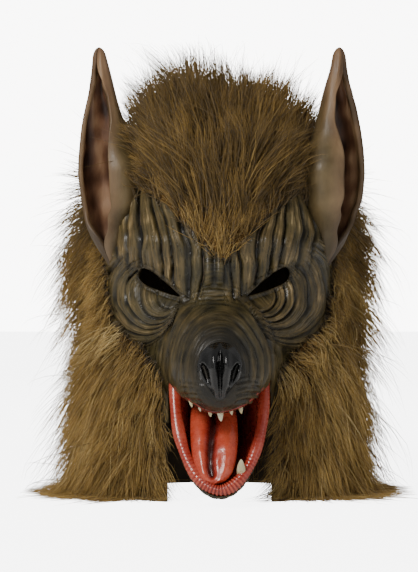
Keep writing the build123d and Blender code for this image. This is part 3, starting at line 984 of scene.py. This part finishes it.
TONGUE_PATH = np.array([    # distance down the jaw, depth behind the lips, half width, half thickness
    (-2, 21, 14.5, 4.5), (8, 14.0, 15.5, 4.8), (20, 7.0, 16.4, 5.0), (34, 2.0, 16.6, 5.0),
    (48, -0.8, 15.6, 4.7), (58, -1.8, 13.6, 4.2), (65, -1.8, 10.5, 3.6), (70, -1.2, 6.0, 2.6),
])


def make_tongue(red):
    """A broad wet tongue with a deep middle groove and a raised edge on each side."""
    rows, columns = 110, 90
    knots = np.linspace(0, 1, len(TONGUE_PATH))
    share = np.linspace(0, 1, rows)
    smoothed = []
    for column in range(4):
        curve = np.polynomial.Chebyshev.fit(knots, TONGUE_PATH[:, column], 5)
        smoothed.append(curve(share))
    along, back, half_width, half_thickness = smoothed
    half_width = half_width * np.sqrt(np.clip((1 - share) / 0.06, 0, 1))
    half_thickness = half_thickness * np.sqrt(np.clip((1 - share) / 0.05, 0.02, 1))
    around = np.linspace(0, 2 * math.pi, columns, endpoint=False)
    cross = np.cos(around)[None, :]
    side_bend = -5.0 + 1.2 * np.sin(share * 2.6)
    x = side_bend[:, None] + half_width[:, None] * np.sign(cross) * np.abs(cross) ** 0.85
    lift = half_thickness[:, None] * np.sin(around)[None, :]
    top = np.clip(np.sin(around), 0, 1)[None, :] ** 0.5
    reach = (x - side_bend[:, None]) / np.maximum(half_width[:, None], 0.5)
    bend = 0.10 * np.sin(share * 7)[:, None] - 0.10
    groove = np.exp(-((reach - bend) / 0.20) ** 2) * smooth(0.96, 0.82, share)[:, None]
    edge = np.exp(-((np.abs(reach) - 0.62) / 0.24) ** 2)
    rough = 0.45 * wobble(x, along[:, None], 3.2, 4) + 0.5 * wobble(x, along[:, None], 7, 8)
    lift = lift + top * (-4.2 * groove + 1.4 * edge + rough)
    tangent_along = np.gradient(along)
    tangent_back = np.gradient(back)
    size = np.hypot(tangent_along, tangent_back)
    out_along = (tangent_back / size)[:, None]
    out_back = (-tangent_along / size)[:, None]
    points = jaw_place(x, along[:, None] + lift * out_along, back[:, None] + lift * out_back).reshape(-1, 3)
    faces = grid_faces(rows, columns, close_columns=True)
    # painted shade in the middle groove and towards the root under the teeth
    relief = np.clip(0.72 - 0.75 * groove * top + 0.1 * edge + 0.1 * wobble(x, along[:, None], 5, 2), 0, 1)
    dark = np.clip(0.35 * groove * top + 0.55 * smooth(0.3, 0.02, share)[:, None] + 0 * x, 0, 1)
    caps = len(points)
    ends = np.vstack([points[:columns].mean(axis=0), points[-columns:].mean(axis=0)])
    points = np.vstack([points, ends])
    ring = np.arange(columns)
    after = (ring + 1) % columns
    start = np.stack([after, ring, np.full(columns, caps)], -1)
    finish = np.stack([ring, after, np.full(columns, caps + 1)], -1)
    finish[:, :2] += (rows - 1) * columns
    everything = np.vstack([triangles(faces), start, finish])
    attributes = {
        "relief": np.append(relief.ravel(), [0.5, 0.7]),
        "dark": np.append(dark.ravel(), [0.6, 0.0]),
    }
    piece = new_mesh("tongue_flesh", points, everything, [red], None, attributes)
    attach(piece, "tongue")
    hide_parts("tongue")


def tooth_points(base, tip, radius, curl):
    """A slightly curved pointed tooth from base to tip."""
    rows, columns = 14, 18
    base, tip = np.array(base, float), np.array(tip, float)
    axis = tip - base
    side = np.cross(axis, (0, 1, 0))
    side = side / np.linalg.norm(side)
    front = np.cross(side, axis)
    front = front / np.linalg.norm(front)
    points = []
    for share in np.linspace(0, 1, rows):
        middle = base + axis * share + side * curl * share ** 2
        size = radius * (1 - share ** 1.7) ** 0.62 * (1 + 0.12 * math.sin(math.pi * share))
        for turn in np.linspace(0, 2 * math.pi, columns, endpoint=False):
            points.append(middle + size * (math.cos(turn) * side + 0.8 * math.sin(turn) * front))
    faces = grid_faces(rows, columns, close_columns=True)
    return np.array(points), faces


UPPER_TEETH = ((-20, 2.6), (-14, 1.7), (-7, 2.3), (0, 5.0), (7.5, 2.0), (14, 3.0))   # x, length below the lip


def make_teeth(enamel):
    points, faces = [], []
    for x, length in UPPER_TEETH:
        lip = float(lip_edge(np.array([float(x)]))[0])
        y = -float(face_form(np.array([float(x)]), np.array([lip + 2.0]))[0]) + SKIN + 1.6
        tip = (x + 0.5, y - 0.4, lip - length)
        tooth, quads = tooth_points((x, y, lip + 3.0), tip, 0.27 * length + 0.8, 0.3)
        faces.append(quads + sum(len(part) for part in points))
        points.append(tooth)
    piece = new_mesh("teeth_upper", np.vstack(points), np.vstack(faces), [enamel])
    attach(piece, "head")
    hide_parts("upper_teeth")
    middle_x = (FANG_LOW[0] + FANG_HIGH[0]) / 2
    base = (middle_x + 0.5, FANG_HIGH[1] + 1.0, FANG_LOW[2] - 1.0)
    tip = (middle_x - 0.8, FANG_LOW[1] - 1.0, FANG_HIGH[2] - 0.5)
    fang, quads = tooth_points(base, tip, 3.1, -0.8)
    piece = new_mesh("fang_lower", fang, quads, [enamel])
    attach(piece, "jaw")
    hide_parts("lower_fang")


# ---- ears --------------------------------------------------------------------------------
def ear_place(points, side):
    """From an ear's own coordinates, opening along -y, to the head's."""
    turn = side * EAR_TURN[side]
    x = points[..., 0] * math.cos(turn) - points[..., 1] * math.sin(turn)
    y = points[..., 0] * math.sin(turn) + points[..., 1] * math.cos(turn)
    z = points[..., 2]
    outer = smooth(-6, 18, side * x) * smooth(2, 34, z) * smooth(139, 96, z)
    x = x + side * EAR_SPREAD[side] * outer
    lean = side * EAR_LEAN
    leaned_x = x * math.cos(lean) + z * math.sin(lean)
    leaned_z = -x * math.sin(lean) + z * math.cos(lean)
    base = np.array([side * EAR_BASE[0], EAR_BASE[1], EAR_BASE[2]])
    return np.stack([leaned_x, y, leaned_z], -1) + base


def make_ear(side, node, latex):
    """A tall scoop with a rolled rim, long folds inside and a soft crumple outside."""
    rows, columns = 150, 96
    heights = np.linspace(EAR_SECTIONS[0, 0], EAR_SECTIONS[-1, 0], rows)
    half_width = np.interp(heights, EAR_SECTIONS[:, 0], EAR_SECTIONS[:, 1])
    half_depth = np.interp(heights, EAR_SECTIONS[:, 0], EAR_SECTIONS[:, 2])
    kernel = np.hanning(15) / np.hanning(15).sum()
    pad = len(kernel) // 2
    round_tip = np.sqrt(np.clip(1 - (np.clip(heights - 133.5, 0, 8) / 7.55) ** 2, 0, 1))
    half_width = np.convolve(np.pad(half_width, pad, "edge"), kernel, "valid") * round_tip
    half_depth = np.convolve(np.pad(half_depth, pad, "edge"), kernel, "valid") * round_tip
    share = (heights - heights[0]) / (heights[-1] - heights[0])
    gape = np.radians(179 - 55 * smooth(-8, 24, heights) + 50 * smooth(104, 132, heights))
    across = np.linspace(-1, 1, columns)
    inward = -side * across[None, :]        # 1 at the rim next to the crown
    lapped = (smooth(4, 20, heights) * smooth(92, 50, heights))[:, None]
    lobe = EAR_LOBE[side] * lapped * smooth(0.1, 1, inward)
    angle = gape[:, None] * across[None, :] - side * lobe
    level = heights[:, None] + 0 * angle
    curl = 2.4 * smooth(0.72, 1.0, np.abs(across))[None, :]
    crumple = 0.9 * wobble(angle * 16, level, 15, side) + 0.6 * wobble(angle * 22, level * 0.4, 5, 3 + side)
    crumple = crumple * smooth(140, 125, level)
    x = (half_width[:, None] + crumple) * np.sin(angle)
    y = (half_depth[:, None] + crumple) * np.cos(angle) + curl * 0.6
    slim = smooth(1.0, 0.85, share)[:, None]
    long_folds = folds(angle * 5.0 + 0.02 * level + 1.5 * wobble(level, angle * 12, 17), 2.0)
    long_folds = long_folds + 0.7 * wobble(level, angle * 18, 5, 4)
    inner_relief = slim * 1.5 * long_folds * smooth(0.95, 0.7, np.abs(across))[None, :] * smooth(8, 30, level)
    thick = 2.2 + 2.0 * smooth(0.70, 0.98, inward) * slim + 0.8 * smooth(0.8, 1.0, -inward) * slim
    thick = thick * smooth(1.05, 0.9, share)[:, None] + 0.5
    flare = smooth(0.1, 0.75, inward) * smooth(2, 26, level) * smooth(80, 48, level)
    x = x - side * 9.0 * flare
    local = np.stack([x, y, level], -1).reshape(-1, 3)
    faces = grid_faces(rows, columns)
    normals = point_normals(local, faces)
    centre = np.stack([np.zeros_like(x), np.zeros_like(x), level], -1).reshape(-1, 3)
    outward = np.sign(((local - centre) * normals).sum(axis=1).mean())
    normals = normals * outward
    room = np.minimum((thick + inner_relief).reshape(-1), 0.8 * np.repeat(half_depth, columns))
    inner = local - normals * room[:, None]
    if outward < 0:
        faces = faces[:, ::-1]
    inner_share = np.clip(0.5 + 0.42 * long_folds + 0.25 * wobble(level, angle * 20, 14, 2), 0, 1)
    rim = smooth(0.75, 0.97, np.abs(across))[None, :] + 0 * level
    inner_share = np.clip(inner_share + 0.08 * rim, 0, 1)
    outer_share = np.clip(0.55 + 0.3 * crumple, 0, 1)
    olive = 0.9 * (1 - 0.35 * rim) * smooth(132, 60, level) + 0.35 * smooth(60, 132, level)
    # painted shade deep in the scoop, stronger on the ear away from the key light
    shade = EAR_SHADE[side] * smooth(0.75, 0.2, np.abs(across))[None, :]
    hollow = shade * smooth(128, 60, level) + (1 - shade) * 0.6 * smooth(16, -4, level)
    root = 0.35 * smooth(30, 0, level) + 0.4 * smooth(0.7, 0.95, -inward)
    shell, shell_faces = closed_shell(ear_place(local, side), ear_place(inner, side), faces)
    attributes = {
        "relief": np.concatenate([outer_share.ravel(), inner_share.ravel()]),
        "dark": np.concatenate([root.ravel(), hollow.ravel()]),
        "outside": np.concatenate([olive.ravel(), 0.5 * rim.ravel()]),
    }
    piece = new_mesh(f"{node}_scoop", shell, shell_faces, [latex], None, attributes)
    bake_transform(piece)
    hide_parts(node)


# ---- fur ---------------------------------------------------------------------------------
FACE_BORDER = np.array([    # height, half width of the bare face
    (0, 41), (78, 40), (88, 41), (98, 43), (112, 54), (121, 68), (130, 76), (150, 81), (190, 80), (212, 60),
    (226, 52),
])


def side_border(z):
    """Half width of the bare face at height z."""
    return np.interp(z, FACE_BORDER[:, 0], FACE_BORDER[:, 1])


def hairline(x):
    """Height of the fur's edge on the forehead."""
    return HAIR_TIP[1] + 3 + 0.98 * np.abs(x - HAIR_TIP[0])


def skin_place(turn, z):
    """A point of the mask's skin at angle turn (0 at the front) and height z, and its outward normal."""
    def place(turn, z):
        half_width, half_depth = head_section(z)
        x = half_width * np.sin(turn)
        y = HEAD_Y - half_depth * np.cos(turn)
        front = (np.abs(turn) < 1.45) & (z > 60) & (z < 232)
        y_front = -face_form(x, np.clip(z, 60, 232))
        return np.stack([x, np.where(front, np.minimum(y, y_front), y), z], -1)

    point = place(turn, z)
    step_turn = place(turn + 0.01, z) - place(turn - 0.01, z)
    step_z = place(turn, z + 0.7) - place(turn, z - 0.7)
    normal = np.cross(step_turn, step_z)
    normal = normal / np.maximum(np.linalg.norm(normal, axis=1, keepdims=True), 1e-9)
    return point, normal


def furred(point):
    """Whether fur grows at a point of the skin."""
    x, y, z = point.T
    front = y < HEAD_Y
    ragged = 1.6 * wobble(x, z, 5, 2) + rng.normal(0, 1.2, len(x))
    bare = front & (np.abs(x) < side_border(z) + ragged) & (z < hairline(x) + ragged)
    gap = front & (z < 62) & (np.abs(x) < NECK_GAP + 1)
    ear = np.zeros(len(x), bool)
    for side in (-1, 1):
        ear |= np.hypot(side * x - 78, y + 24) + np.abs(z - 192) * 0.4 < 17
    return ~(bare | gap | ear)


def scatter_roots(count):
    """Random roots over the furred skin, evenly by area."""
    turn = rng.uniform(-math.pi, math.pi, count * 3)
    height = rng.uniform(0, 1, count * 3)
    z = 3 + height * (CROWN_Z - 4)
    half_width, half_depth = head_section(z)
    level = np.clip(1 - ((z - DOME_Z) / (CROWN_Z - DOME_Z)) ** 2, 0.01, 1)
    slope = np.where(z > DOME_Z, 1 / np.sqrt(level), 1)
    area = (half_width + half_depth) / (HEAD_HALF_WIDTH + HEAD_HALF_DEPTH) * np.minimum(slope, 6)
    keep = rng.uniform(0, 3.0, len(z)) < area
    point, normal = skin_place(turn[keep], z[keep])
    grows = furred(point)
    return point[grows][:count], normal[grows][:count]


def border_distance(point):
    """How far a root lies from the bare face, in mm."""
    x, y, z = point.T
    aside = np.abs(x) - side_border(z)
    above = (z - hairline(x)) * 0.7
    away = np.where(z > 150, np.maximum(above, aside), aside)
    return np.where(y < HEAD_Y, np.clip(away, 0, 60), 60.0)


def lay_of(point, normal):
    """Direction, length and droop of the pile at each root."""
    x, y, z = point.T
    up = np.array([0.0, 0.0, 1.0])
    down = -up - normal * (-up * normal).sum(axis=1, keepdims=True)
    down = down / np.maximum(np.linalg.norm(down, axis=1, keepdims=True), 0.15)
    side = np.stack([np.sign(x) * smooth(0, 20, np.abs(x)), 0 * x, 0 * x], -1)
    front = smooth(-10, -50, y)
    away = border_distance(point)
    forehead = (front * smooth(150, 168, z) * smooth(78, 62, np.abs(x)))[:, None]
    top = smooth(210, 245, z)[:, None]
    crown = normal * 0.62 + up * (0.62 * smooth(75, 10, y))[:, None]
    crown = crown + side * (0.16 + 0.42 * smooth(22, 60, np.abs(x)))[:, None]
    crown = crown + np.array([0, 1.0, 0]) * (0.55 * smooth(-15, 40, y))[:, None]
    crown = crown + down * (0.5 * smooth(30, 90, y))[:, None]
    brow = normal * 0.30 - down * 0.90 + side * 0.35
    flank = normal * 0.62 + down * 0.66 + side * (0.35 * front * smooth(26, 4, away))[:, None]
    throat = front * smooth(82, 56, z) * smooth(58, 42, np.abs(x))
    low = normal * 0.50 + down * 0.85 - side * (0.85 * throat)[:, None]
    lay = flank + (low - flank) * smooth(130, 60, z)[:, None]
    lay = lay + (crown - lay) * top
    lay = lay + (brow - lay) * forehead * (1 - 0.6 * top)
    length = 56 + 6 * smooth(140, 60, z)
    tuft = 16 * bump(x, y, (-16, -20), (22, 40))
    length = length + (48 + tuft - length) * top[:, 0]
    length = length * (0.34 + 0.66 * smooth(0, 34, away))
    droop = 0.42 * (1 - np.maximum(top, forehead)[:, 0]) + 0.03
    return lay, length, droop


STRANDS_PER_LOCK = 34
STRAY_SHARE = 0.07


def clump_tips(point, count):
    """Draws the tips together in locks, each about its own middle strand."""
    picks = rng.choice(len(point), count, replace=False)
    tree = KDTree(count)
    for index, pick in enumerate(picks):
        tree.insert(Vector(point[pick]), index)
    tree.balance()
    nearest = np.array([tree.find(Vector(place))[1] for place in point])
    return picks[nearest], nearest


SEGMENTS = 6


def strand_lines(point, normal):
    """Centre lines of the strands, (n, SEGMENTS + 1, 3), and the lock that each belongs to."""
    count = len(point)
    lay, length, droop = lay_of(point, normal)
    near = smooth(14, 0, border_distance(point))
    lay = lay + rng.normal(0, 1, (count, 3)) * (0.15 + 0.22 * near)[:, None]
    lay = lay / np.linalg.norm(lay, axis=1, keepdims=True)
    leader, lock = clump_tips(point, count // STRANDS_PER_LOCK)
    length = length * rng.uniform(0.70, 1.10, count) * rng.uniform(0.8, 1.15, lock.max() + 1)[lock]
    stray = rng.uniform(0, 1, count) < STRAY_SHARE
    length = np.where(stray, length * rng.uniform(1.1, 1.4, count), length)
    lay = lay + rng.normal(0, 0.20, (lock.max() + 1, 3))[lock]
    lay = lay + stray[:, None] * rng.normal(0, 0.25, (count, 3))
    lay = lay / np.linalg.norm(lay, axis=1, keepdims=True)
    steps = np.linspace(0, 1, SEGMENTS + 1)
    curl = rng.normal(0, 1, (count, 3))
    lines = np.zeros((count, SEGMENTS + 1, 3))
    for index, share in enumerate(steps):
        early = (1 - share) ** 1.5 * 0.55
        direction = lay + normal * early
        offset = direction * (length * share)[:, None]
        offset = offset + curl * (2.6 * share ** 2 * np.sin(3.0 * share + curl[:, :1]))
        offset[:, 2] -= droop * length * share ** 2.2 * 0.45
        lines[:, index] = point + offset
    pull = np.where(stray, 0.0, 0.62 * rng.uniform(0.45, 1.0, count))
    for index, share in enumerate(steps):
        target = lines[leader, index]
        amount = (pull * share ** 1.3)[:, None]
        lines[:, index] = lines[:, index] * (1 - amount) + target * amount
    floor = 0.8 + 3.0 * rng.uniform(0, 1, count)[:, None]
    low = np.maximum(floor - lines[..., 2], 0)
    out = lines[..., :2] - np.array([0.0, HEAD_Y])
    out = out / np.maximum(np.linalg.norm(out, axis=-1, keepdims=True), 1e-6)
    lines[..., :2] += out * (0.35 * low)[..., None]
    lines[..., 2] = np.maximum(lines[..., 2], floor)
    return lines, lock


def keep_inside(lines):
    """Pulls strands back inside the room that the CAD's box leaves them."""
    low, high = (np.array(corner) / MM for corner in cad_box)
    slack = 0.02 * (high - low) + 6
    middle = (low + high) / 2
    half = (high - low) / 2 + slack
    away = (lines - middle) / half
    size = np.abs(away)
    soft = np.where(size > 0.9, 0.9 + 0.1 * np.tanh((size - 0.9) / 0.1), size)
    return middle + np.sign(away) * soft * half


def strand_mesh(name, lines, tone, shades, width, node):
    """Thin three-sided tapering strands as one closed-walled mesh."""
    count = len(lines)
    steps = np.linspace(0, 1, SEGMENTS + 1)
    tangent = np.gradient(lines, axis=1)
    tangent = tangent / np.maximum(np.linalg.norm(tangent, axis=2, keepdims=True), 1e-9)
    helper = rng.normal(0, 1, (count, 1, 3))
    first = np.cross(tangent, helper)
    first = first / np.maximum(np.linalg.norm(first, axis=2, keepdims=True), 1e-9)
    second = np.cross(tangent, first)
    taper = 0.5 * width * (1 - 0.93 * steps ** 1.6)
    radius = taper[None, :, None] * rng.uniform(0.7, 1.25, (count, 1, 1))
    rings = []
    for corner in range(3):
        turn = corner * 2 * math.pi / 3
        rings.append(lines + radius * (first * math.cos(turn) + second * math.sin(turn)))
    points = np.stack(rings, 2).reshape(-1, 3)
    per = 3 * (SEGMENTS + 1)
    quads, zones = [], []
    for step in range(SEGMENTS):
        for corner in range(3):
            after = (corner + 1) % 3
            quads.append((3 * step + corner, 3 * step + after, 3 * step + 3 + after, 3 * step + 3 + corner))
            zones.append(0 if step < 1 else (1 if step < SEGMENTS - 2 else 2))
    quads = np.array(quads)
    first_index = (np.arange(count) * per)[:, None, None]
    walls = triangles((quads[None] + first_index).reshape(-1, 4))
    wall_slots = np.tile((tone[:, None] * 3 + np.array(zones)[None, :]).ravel(), 2)
    caps = np.array([(0, 2, 1), (per - 3, per - 2, per - 1)])
    cap_faces = (caps[None] + first_index).reshape(-1, 3)
    cap_slots = np.stack([tone * 3, tone * 3 + 2], -1).ravel()
    piece = new_mesh(
        name, points, np.vstack([walls, cap_faces]), shades, np.concatenate([wall_slots, cap_slots])
    )
    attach(piece, "head")
    if node:
        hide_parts(node)


def clear_of_ears(lines):
    """Which strands run outside both ears."""
    clear = np.ones(len(lines), bool)
    for side in (-1, 1):
        base = np.array([side * EAR_BASE[0], EAR_BASE[1], EAR_BASE[2]])
        local = lines - base
        height = local[..., 2]
        across = local[..., 0] - side * height * math.tan(EAR_LEAN)
        size = np.interp(height, EAR_SECTIONS[:, 0], EAR_SECTIONS[:, 1] + 2.0, left=0, right=0)
        clear &= ~(np.hypot(across, local[..., 1]) < size).any(axis=1)
    return clear


def panel_of(point):
    """Which fur panel each root belongs to."""
    x, y, z = point.T
    names = np.full(len(x), "back_fur", dtype=object)
    sides = y < BACK_Y
    high = z > PANEL_Z
    names[sides & high & (x > 0)] = "cheek_fur_left"
    names[sides & high & (x <= 0)] = "cheek_fur_right"
    names[sides & ~high & (x > 0)] = "neck_fur_left"
    names[sides & ~high & (x <= 0)] = "neck_fur_right"
    names[z > HAIRLINE_Z] = "crown_fur"
    names[(z <= HAIRLINE_Z) & (y < -30) & (np.abs(x) < 58) & (z > 150)] = "brow_fur"
    return names


STRANDS = 88000
STRAND_WIDTH = 0.62
MIDDLE_TONE = 2.7               # the usual place in FUR_TONES
STRANDS_PER_PIECE = 4900        # strands in one mesh piece; keeps a piece under the export's face limit


def make_fur(shades, backing):
    count = STRANDS
    point, normal = scatter_roots(count)
    lines, lock = strand_lines(point, normal)
    clear = clear_of_ears(lines)
    point, lines, lock = point[clear], keep_inside(lines[clear]), lock[clear]
    lock_tone = rng.normal(0, 0.6, lock.max() + 1)
    x, y, z = point.T
    height_tone = -2.1 * smooth(150, 215, z) * smooth(60, 0, y) + 0.5 * wobble(x, z, 22, 3)
    tone = MIDDLE_TONE + lock_tone[lock] + rng.normal(0, 0.7, len(point)) + height_tone
    tone = np.clip(np.round(tone), 0, len(FUR_TONES) - 1).astype(int)
    panels = panel_of(point)
    width = STRAND_WIDTH * 1.0
    for panel in sorted(set(panels)):
        members = np.nonzero(panels == panel)[0]
        parts = math.ceil(len(members) / STRANDS_PER_PIECE)
        for part in range(parts):
            own = members[part::parts]
            node = panel if part == 0 else None
            strand_mesh(f"{panel}_pile_{part + 1}", lines[own], tone[own], shades, width, node)
    make_backing(backing)


BACKING_SET_BACK = 5.0      # how far the knit stops short of the pile's edge


def make_backing(material):
    """The knit under the pile, a thin sheet glued to the latex."""
    columns, rows = 240, 170
    turn = np.linspace(-math.pi, math.pi, columns, endpoint=False)
    levels = np.concatenate([np.linspace(0.5, DOME_Z, 100, endpoint=False), dome_levels(rows - 100)])
    grid_turn, grid_z = np.meshgrid(turn, levels)
    point, normal = skin_place(grid_turn.ravel(), grid_z.ravel())
    x, y, z = point.T
    front = y < HEAD_Y
    edge = np.maximum(np.abs(x) - side_border(z), z - hairline(x)) - BACKING_SET_BACK
    edge = np.where(front, edge, 10.0)
    faces = triangles(grid_faces(rows, columns, close_columns=True))
    data = np.hstack([point, normal])
    data, faces = clip_triangles(data, faces, edge)
    data, faces = clip_triangles(data, faces, outside_ears(data[:, :3]))
    point, normal = data[:, :3], data[:, 3:]
    normal = normal / np.maximum(np.linalg.norm(normal, axis=1, keepdims=True), 1e-9)
    shell, shell_faces = closed_shell(point + normal * 2.2, point + normal * 0.9, faces)
    piece = new_mesh("fur_backing", shell, shell_faces, [material])
    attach(piece, "head")


# ---- studio ------------------------------------------------------------------------------
VIEW_HEIGHT = 400.0     # millimetres of the mask's plane that the picture's height covers
CAMERA_DISTANCE = 1600.0
CAMERA_X = -7.5
CAMERA_Z = 153.0
FACE_PLANE_Y = -88.0
STUDIO_LIGHT = 0.30     # strength of the white room round the mask
BACKDROP_LIGHT = 9.0    # strength of the backdrop as the camera sees it
FLOOR_GLOW = 0.15       # what the pale floor gives back to the mask
FLOOR_LIGHT = 6.0       # strength of the floor as the camera sees it


def make_camera():
    data = bpy.data.cameras.new("camera")
    data.sensor_fit = "VERTICAL"
    data.sensor_height = 36.0
    data.lens = 36.0 * CAMERA_DISTANCE / VIEW_HEIGHT
    camera = bpy.data.objects.new("camera", data)
    camera.location = (CAMERA_X * MM, (FACE_PLANE_Y - CAMERA_DISTANCE) * MM, CAMERA_Z * MM)
    camera.rotation_euler = (math.pi / 2, 0, 0)
    bpy.context.scene.collection.objects.link(camera)
    bpy.context.scene.camera = camera


def add_area(name, place, target, size, power, colour=(1, 1, 1)):
    data = bpy.data.lights.new(name, "AREA")
    data.shape = "RECTANGLE"
    data.size, data.size_y = size
    data.energy = power
    data.color = colour
    light = bpy.data.objects.new(name, data)
    light.location = place
    light.rotation_euler = (Vector(target) - Vector(place)).to_track_quat("-Z", "Y").to_euler()
    bpy.context.scene.collection.objects.link(light)


def bright_to_camera(tree, socket, otherwise, seen):
    """Sets a strength to one value for what the camera sees and to another for lighting."""
    path = tree.nodes.new("ShaderNodeLightPath")
    strength = tree.nodes.new("ShaderNodeMapRange")
    strength.inputs["To Min"].default_value = otherwise
    strength.inputs["To Max"].default_value = seen
    tree.links.new(path.outputs["Is Camera Ray"], strength.inputs["Value"])
    tree.links.new(strength.outputs["Result"], socket)


def make_studio():
    world = bpy.data.worlds.new("studio")
    bpy.context.scene.world = world
    world.use_nodes = True
    tree = world.node_tree
    background = tree.nodes["Background"]
    background.inputs["Color"].default_value = (1.0, 0.99, 0.975, 1)
    bright_to_camera(tree, background.inputs["Strength"], STUDIO_LIGHT, BACKDROP_LIGHT)
    floor_points = np.array([(-6000, -6000, 0), (6000, -6000, 0), (6000, 6000, 0), (-6000, 6000, 0)], float)
    pale = Nodes("studio_floor", 0.9, Specular_IOR_Level=0.1)
    pale.colour(pale.ramp(pale.noise(2.0), [(0.4, linear(244, 243, 240)), (0.6, linear(248, 247, 245))]))
    pale.shader.inputs["Emission Color"].default_value = (1, 1, 1, 1)
    bright_to_camera(pale.tree, pale.shader.inputs["Emission Strength"], FLOOR_GLOW, FLOOR_LIGHT)
    floor = new_mesh("studio_floor", floor_points, np.array([(0, 1, 2, 3)]), [pale.material])
    add_area("key", (-0.9, -1.3, 1.15), (0, 0, 0.16), (0.5, 0.5), 22, (1.0, 0.97, 0.93))
    add_area("fill", (1.2, -1.2, 0.5), (0, 0, 0.15), (0.9, 0.9), 2.5, (0.95, 0.97, 1.0))
    add_area("rim", (0.3, 1.2, 1.3), (0, 0, 0.25), (0.9, 0.9), 7)


make_camera()
make_studio()
FACE_LATEX = face_latex()
INSIDE = inside_latex()
RED = mouth_latex("mouth_red", linear(84, 20, 15), linear(160, 46, 32), linear(204, 96, 70))
TONGUE_RED = mouth_latex("tongue_red", linear(70, 22, 18), linear(164, 46, 30), linear(206, 86, 58))
make_face(FACE_LATEX, INSIDE)
make_hood(INSIDE)
make_nose(nose_gloss())
make_palate(RED)
make_jaw(FACE_LATEX, RED)
make_tongue(TONGUE_RED)
make_teeth(tooth_enamel())
EAR_LATEX = ear_latex()
make_ear(1, "ear_left", EAR_LATEX)
make_ear(-1, "ear_right", EAR_LATEX)
make_fur(fur_shades(), knit_backing())
